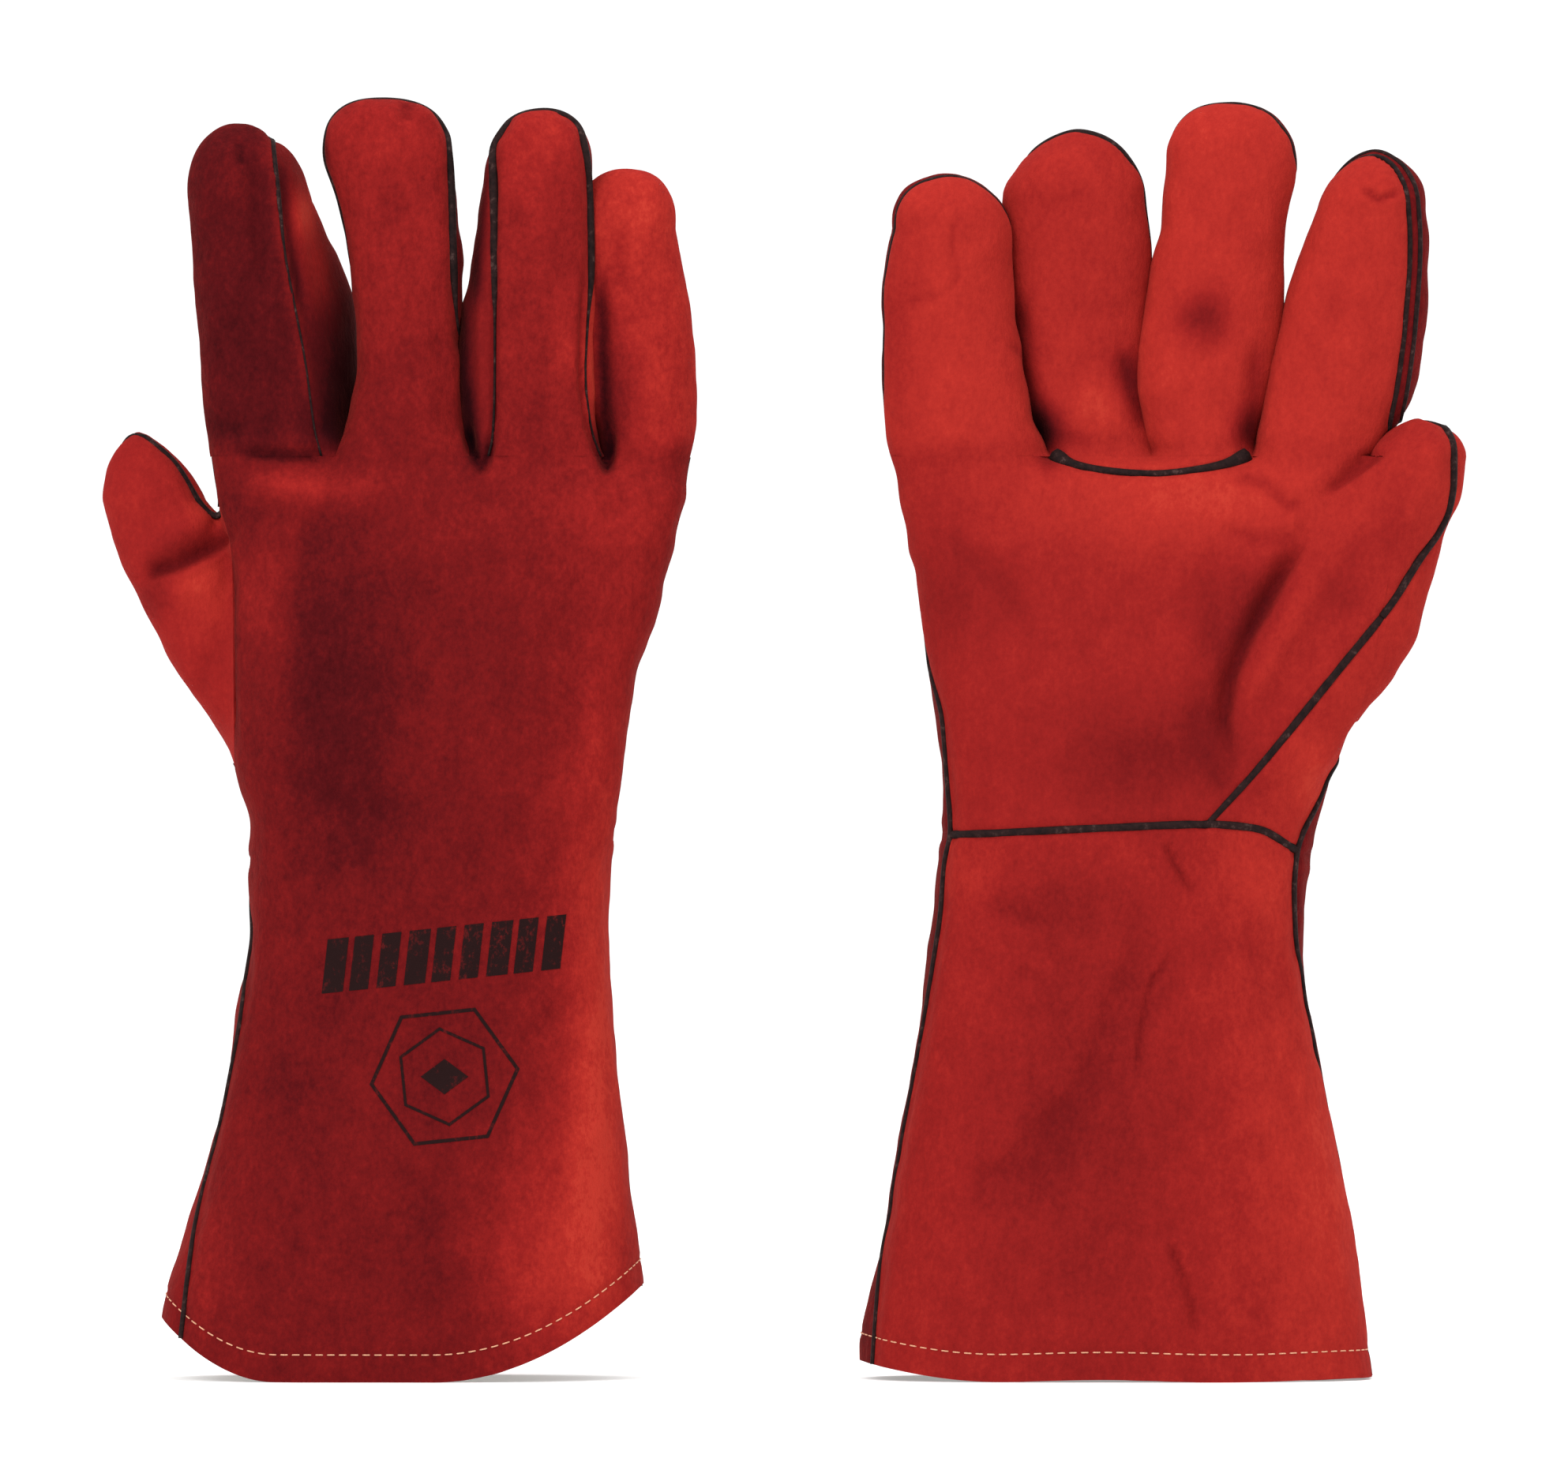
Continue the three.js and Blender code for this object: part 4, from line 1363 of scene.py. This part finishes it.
    # The leather of the hand and cuff.
    thumb = glove["digits"]["thumb"]
    low_x = min(x for _, x in glove["left"] + thumb["left"]) - 5
    high_x = max(x for _, x in glove["right"] + thumb["right"]) + 5
    hand_box = (low_x, -40, -9), (high_x, 40, 268)
    grooves = [
        hand_groove,
        palm_groove(wrist_value),
        palm_groove(gusset_value, GUSSET_Z),
        palm_groove(root_value),
    ]
    whole = shell("hand", hand_field, hand_box, grooves)
    whole = whole.kept(over_hem(whole))
    above, cut = whole.clip(over_hem(whole, HEM_STITCH_LIFT))
    hem_runs = above.runs(cut)
    hand = whole.kept(ROOT_Z - whole.points[:, 2])
    hand = hand.kept(-hand.value(thumb_value))
    front, rear, side_runs = hand.split(hand.value(side_value))
    palm, back = (front, rear) if palm_up else (rear, front)
    hand_back, cuff_back, _ = back.split(back.points[:, 2] - WRIST_Z)
    upper, cuff_palm, wrist_runs = palm.split(palm.value(wrist_value))
    gusset, palm, gusset_runs = upper.split(upper.value(gusset_value))
    palm, root_strip, root_runs = palm.split(palm.value(root_value))
    for piece, sheet, is_back, nodes, slot in (
        ("cuff_back_leather", cuff_back, True, ["cuff_back"], "back_leather"),
        ("hand_back_leather", hand_back, True, ["hand_back"], "back_leather"),
        ("cuff_palm_leather", cuff_palm, False, ["cuff_palm"], "cuff_leather"),
        ("thumb_gusset", gusset, False, [], "palm_leather"),
        ("palm_leather", palm, False, ["palm"], "palm_leather"),
        ("finger_root_leather", root_strip, False, [], "palm_leather"),
    ):
        leather(piece, "hand", sheet, is_back, wrist, nodes, slot)

    def side(left):
        """The side seam's runs, or parts of runs, on one side of the glove."""
        found = []
        for points, normals in side_runs:
            mask = (points[:, 0] < x0) == left
            edges = np.flatnonzero(np.diff(np.concatenate([[0], mask.astype(int), [0]])))
            for a, b in zip(edges[::2], edges[1::2]):
                if b - a > SHORTEST_RUN:
                    found.append((points[a:b], normals[a:b]))
        return found

    side_radii = [(0, 0.75), (150, 0.9), (250, 0.8)]
    gusset_radii = [(150, 0.95), (190, 1.25), (262, 1.2)]
    root_radii = [(247, 1.0), (249.5, 1.4), (251.5, 2.5), (257, 2.3)]
    for piece, runs, radii, nodes in (
        ("side_welt_thumb_side", side(not palm_up), side_radii, ["hand_welt_thumb_side"]),
        ("side_welt_little_side", side(palm_up), side_radii, ["hand_welt_little_side"]),
        ("wrist_welt", wrist_runs, [(0, 1.15), (300, 1.15)], ["cuff_welt"]),
        ("gusset_welt", gusset_runs, gusset_radii, []),
        ("root_welt", root_runs, root_radii, ["finger_root_welt"]),
    ):
        welting(piece, runs, radii, wrist, nodes)

    # The thumb. Where its cut stays clear of the index finger, it is cut from the whole hand.
    thumb_field = digit_field("thumb") if palm_up else hand_field
    sheet = shell("thumb", thumb_field, digit_box("thumb"), [digit_value("thumb")])
    sheet = sheet.kept(sheet.value(thumb_value))
    near, far, runs = sheet.split(sheet.value(digit_value("thumb")))
    outer, within = (far, near) if palm_up else (near, far)
    leather("thumb_outer_leather", "thumb", outer, False, ball, ["thumb_back"], "palm_leather")
    leather("thumb_inner_leather", "thumb", within, False, ball, ["thumb_front"], "palm_leather")
    welting("thumb_welting", runs, thumb["welt"], ball, ["thumb_welt"])

    # The fingers.
    for digit in FINGERS:
        d = glove["digits"][digit]
        sheet = shell(digit, digit_field(digit), digit_box(digit), [finger_groove(digit)])
        sheet = sheet.kept(sheet.points[:, 2] - ROOT_Z)
        near, far, runs = sheet.split(sheet.value(digit_value(digit)))
        if "second_welt" in d:
            _, _, more = far.split(far.value(digit_value(digit)) + d["second_welt"])
            runs = runs + more
        for panel, is_back in ((near, not palm_up), (far, palm_up)):
            node = f"{digit}_back" if is_back else f"{digit}_front"
            slot = "back_leather" if is_back else "palm_leather"
            leather(f"{node}_leather", digit, panel, is_back, roots[digit], [node], slot)
        welting(f"{digit}_welting", runs, d["welt"], roots[digit], [f"{digit}_welt"])

    # The lining.
    lining = shell("hand", hand_field, hand_box, step=LINING_STEP, inset=LINING_INSET)
    lining = lining.kept(over_hem(lining, LINING_HEM))
    lining = lining.kept(ROOT_Z - lining.points[:, 2])
    lining = lining.kept(-lining.value(thumb_value))
    hand_lining, cuff_lining, _ = lining.split(lining.points[:, 2] - WRIST_Z)
    inner("cuff_drill", cuff_lining, "drill", wrist, "cuff_lining")
    inner("hand_fleece", hand_lining, "fleece", wrist, "hand_lining")
    for digit in (*FINGERS, "thumb"):
        is_thumb = digit == "thumb"
        field = thumb_field if is_thumb else digit_field(digit)
        deeper = TURNED_DEEPER if "turned" in glove["digits"][digit] else DIGIT_DEEPER
        sheet = shell(digit, field, digit_box(digit), step=LINING_STEP, inset=LINING_INSET + deeper)
        sheet = sheet.kept(sheet.value(thumb_value) if is_thumb else sheet.points[:, 2] - ROOT_Z)
        where = ball if is_thumb else roots[digit]
        inner(f"{digit}_fleece", sheet, "fleece", where, f"{digit}_lining")

    # The stitching along the hem.
    points, faces = gathered([stitches(run) for run in hem_runs])
    obj = new_mesh(*named("hem_stitches"), points, faces, materials["thread"])
    placed(obj, named("cuff"), None, "cuff_leather")
    return whole


def print_on(glove, whole, materials):
    tree = BVHTree.FromPolygons(whole.points.tolist(), whole.faces.tolist())
    sheet = on_surface(tree, stamp())
    points, faces, corner = sheet.thick(INK)
    # The suede seen through the worn ink carries the cuff's painted light and shade.
    tone = tone_with_painted_light(glove, "hand", True, sheet.points, sheet.normals)
    both_sides = np.concatenate([tone, tone])
    name = glove["name"] + "_cuff_print"
    obj = new_mesh(name, points, faces, materials["ink"], corner, both_sides)
    placed(obj, (glove["name"] + "_cuff",), None, "back_leather")


# ---------------------------------------------------------------- studio


def linked(name, data, place):
    obj = bpy.data.objects.new(name, data)
    obj.location = place
    bpy.context.scene.collection.objects.link(obj)
    return obj


def studio():
    """A white surround, a pale floor, two soft lights and a level camera."""
    world = bpy.data.worlds.new("studio")
    world.use_nodes = True
    background = world.node_tree.nodes["Background"]
    background.inputs["Color"].default_value = (1, 1, 1, 1)
    background.inputs["Strength"].default_value = 1.12
    bpy.context.scene.world = world
    bpy.context.scene.view_settings.view_transform = "Standard"

    pale = dict(Emission_Color=(1, 1, 1, 1), Emission_Strength=0.3, Specular_IOR_Level=0.1)
    material = Nodes("floor").finished((0.8, 0.8, 0.8, 1), 0.9, **pale)
    far = 9000.0
    corners = np.array([(-far, -far, 0), (far, -far, 0), (far, far, 0), (-far, far, 0)])
    floor = new_mesh("floor", corners, np.array([[0, 1, 2], [0, 2, 3]]), material)

    for name, place, target, size, power in (
        ("key", (-0.9, -1.5, 1.5), (0, 0, 0.18), 1.2, 22),
        ("top", (0.3, -0.3, 1.9), (0, 0, 0.2), 1.4, 14),
    ):
        light = bpy.data.lights.new(name, "AREA")
        light.shape, light.size, light.energy = "DISK", size, power
        aim = (Vector(target) - Vector(place)).to_track_quat("-Z", "Y")
        linked(name, light, place).rotation_euler = aim.to_euler()

    camera = bpy.data.cameras.new("camera")
    distance, view_width, middle_x, middle_z = 5.0, 0.4286, -0.0002, 0.1744
    camera.sensor_width = 36
    camera.lens = camera.sensor_width * distance / view_width
    camera.clip_end = 50
    obj = linked("camera", camera, (middle_x, -distance, middle_z))
    obj.rotation_euler = (math.pi / 2, 0, 0)
    bpy.context.scene.camera = obj


MATERIALS = dict(
    back_leather=suede("back_suede", 0.9, 1.3),
    palm_leather=suede("palm_suede", 0.86, 0.8),
    cuff_leather=suede("cuff_suede", 0.88, 1.0),
    welt=welt_leather("welt_strip"),
    thread=thread("hem_thread"),
    fleece=fleece("fleece"),
    drill=drill("drill"),
    ink=ink("stamp_ink"),
)

studio()
whole = build(BACK_UP, MATERIALS)
print_on(BACK_UP, whole, MATERIALS)
build(PALM_UP, MATERIALS)
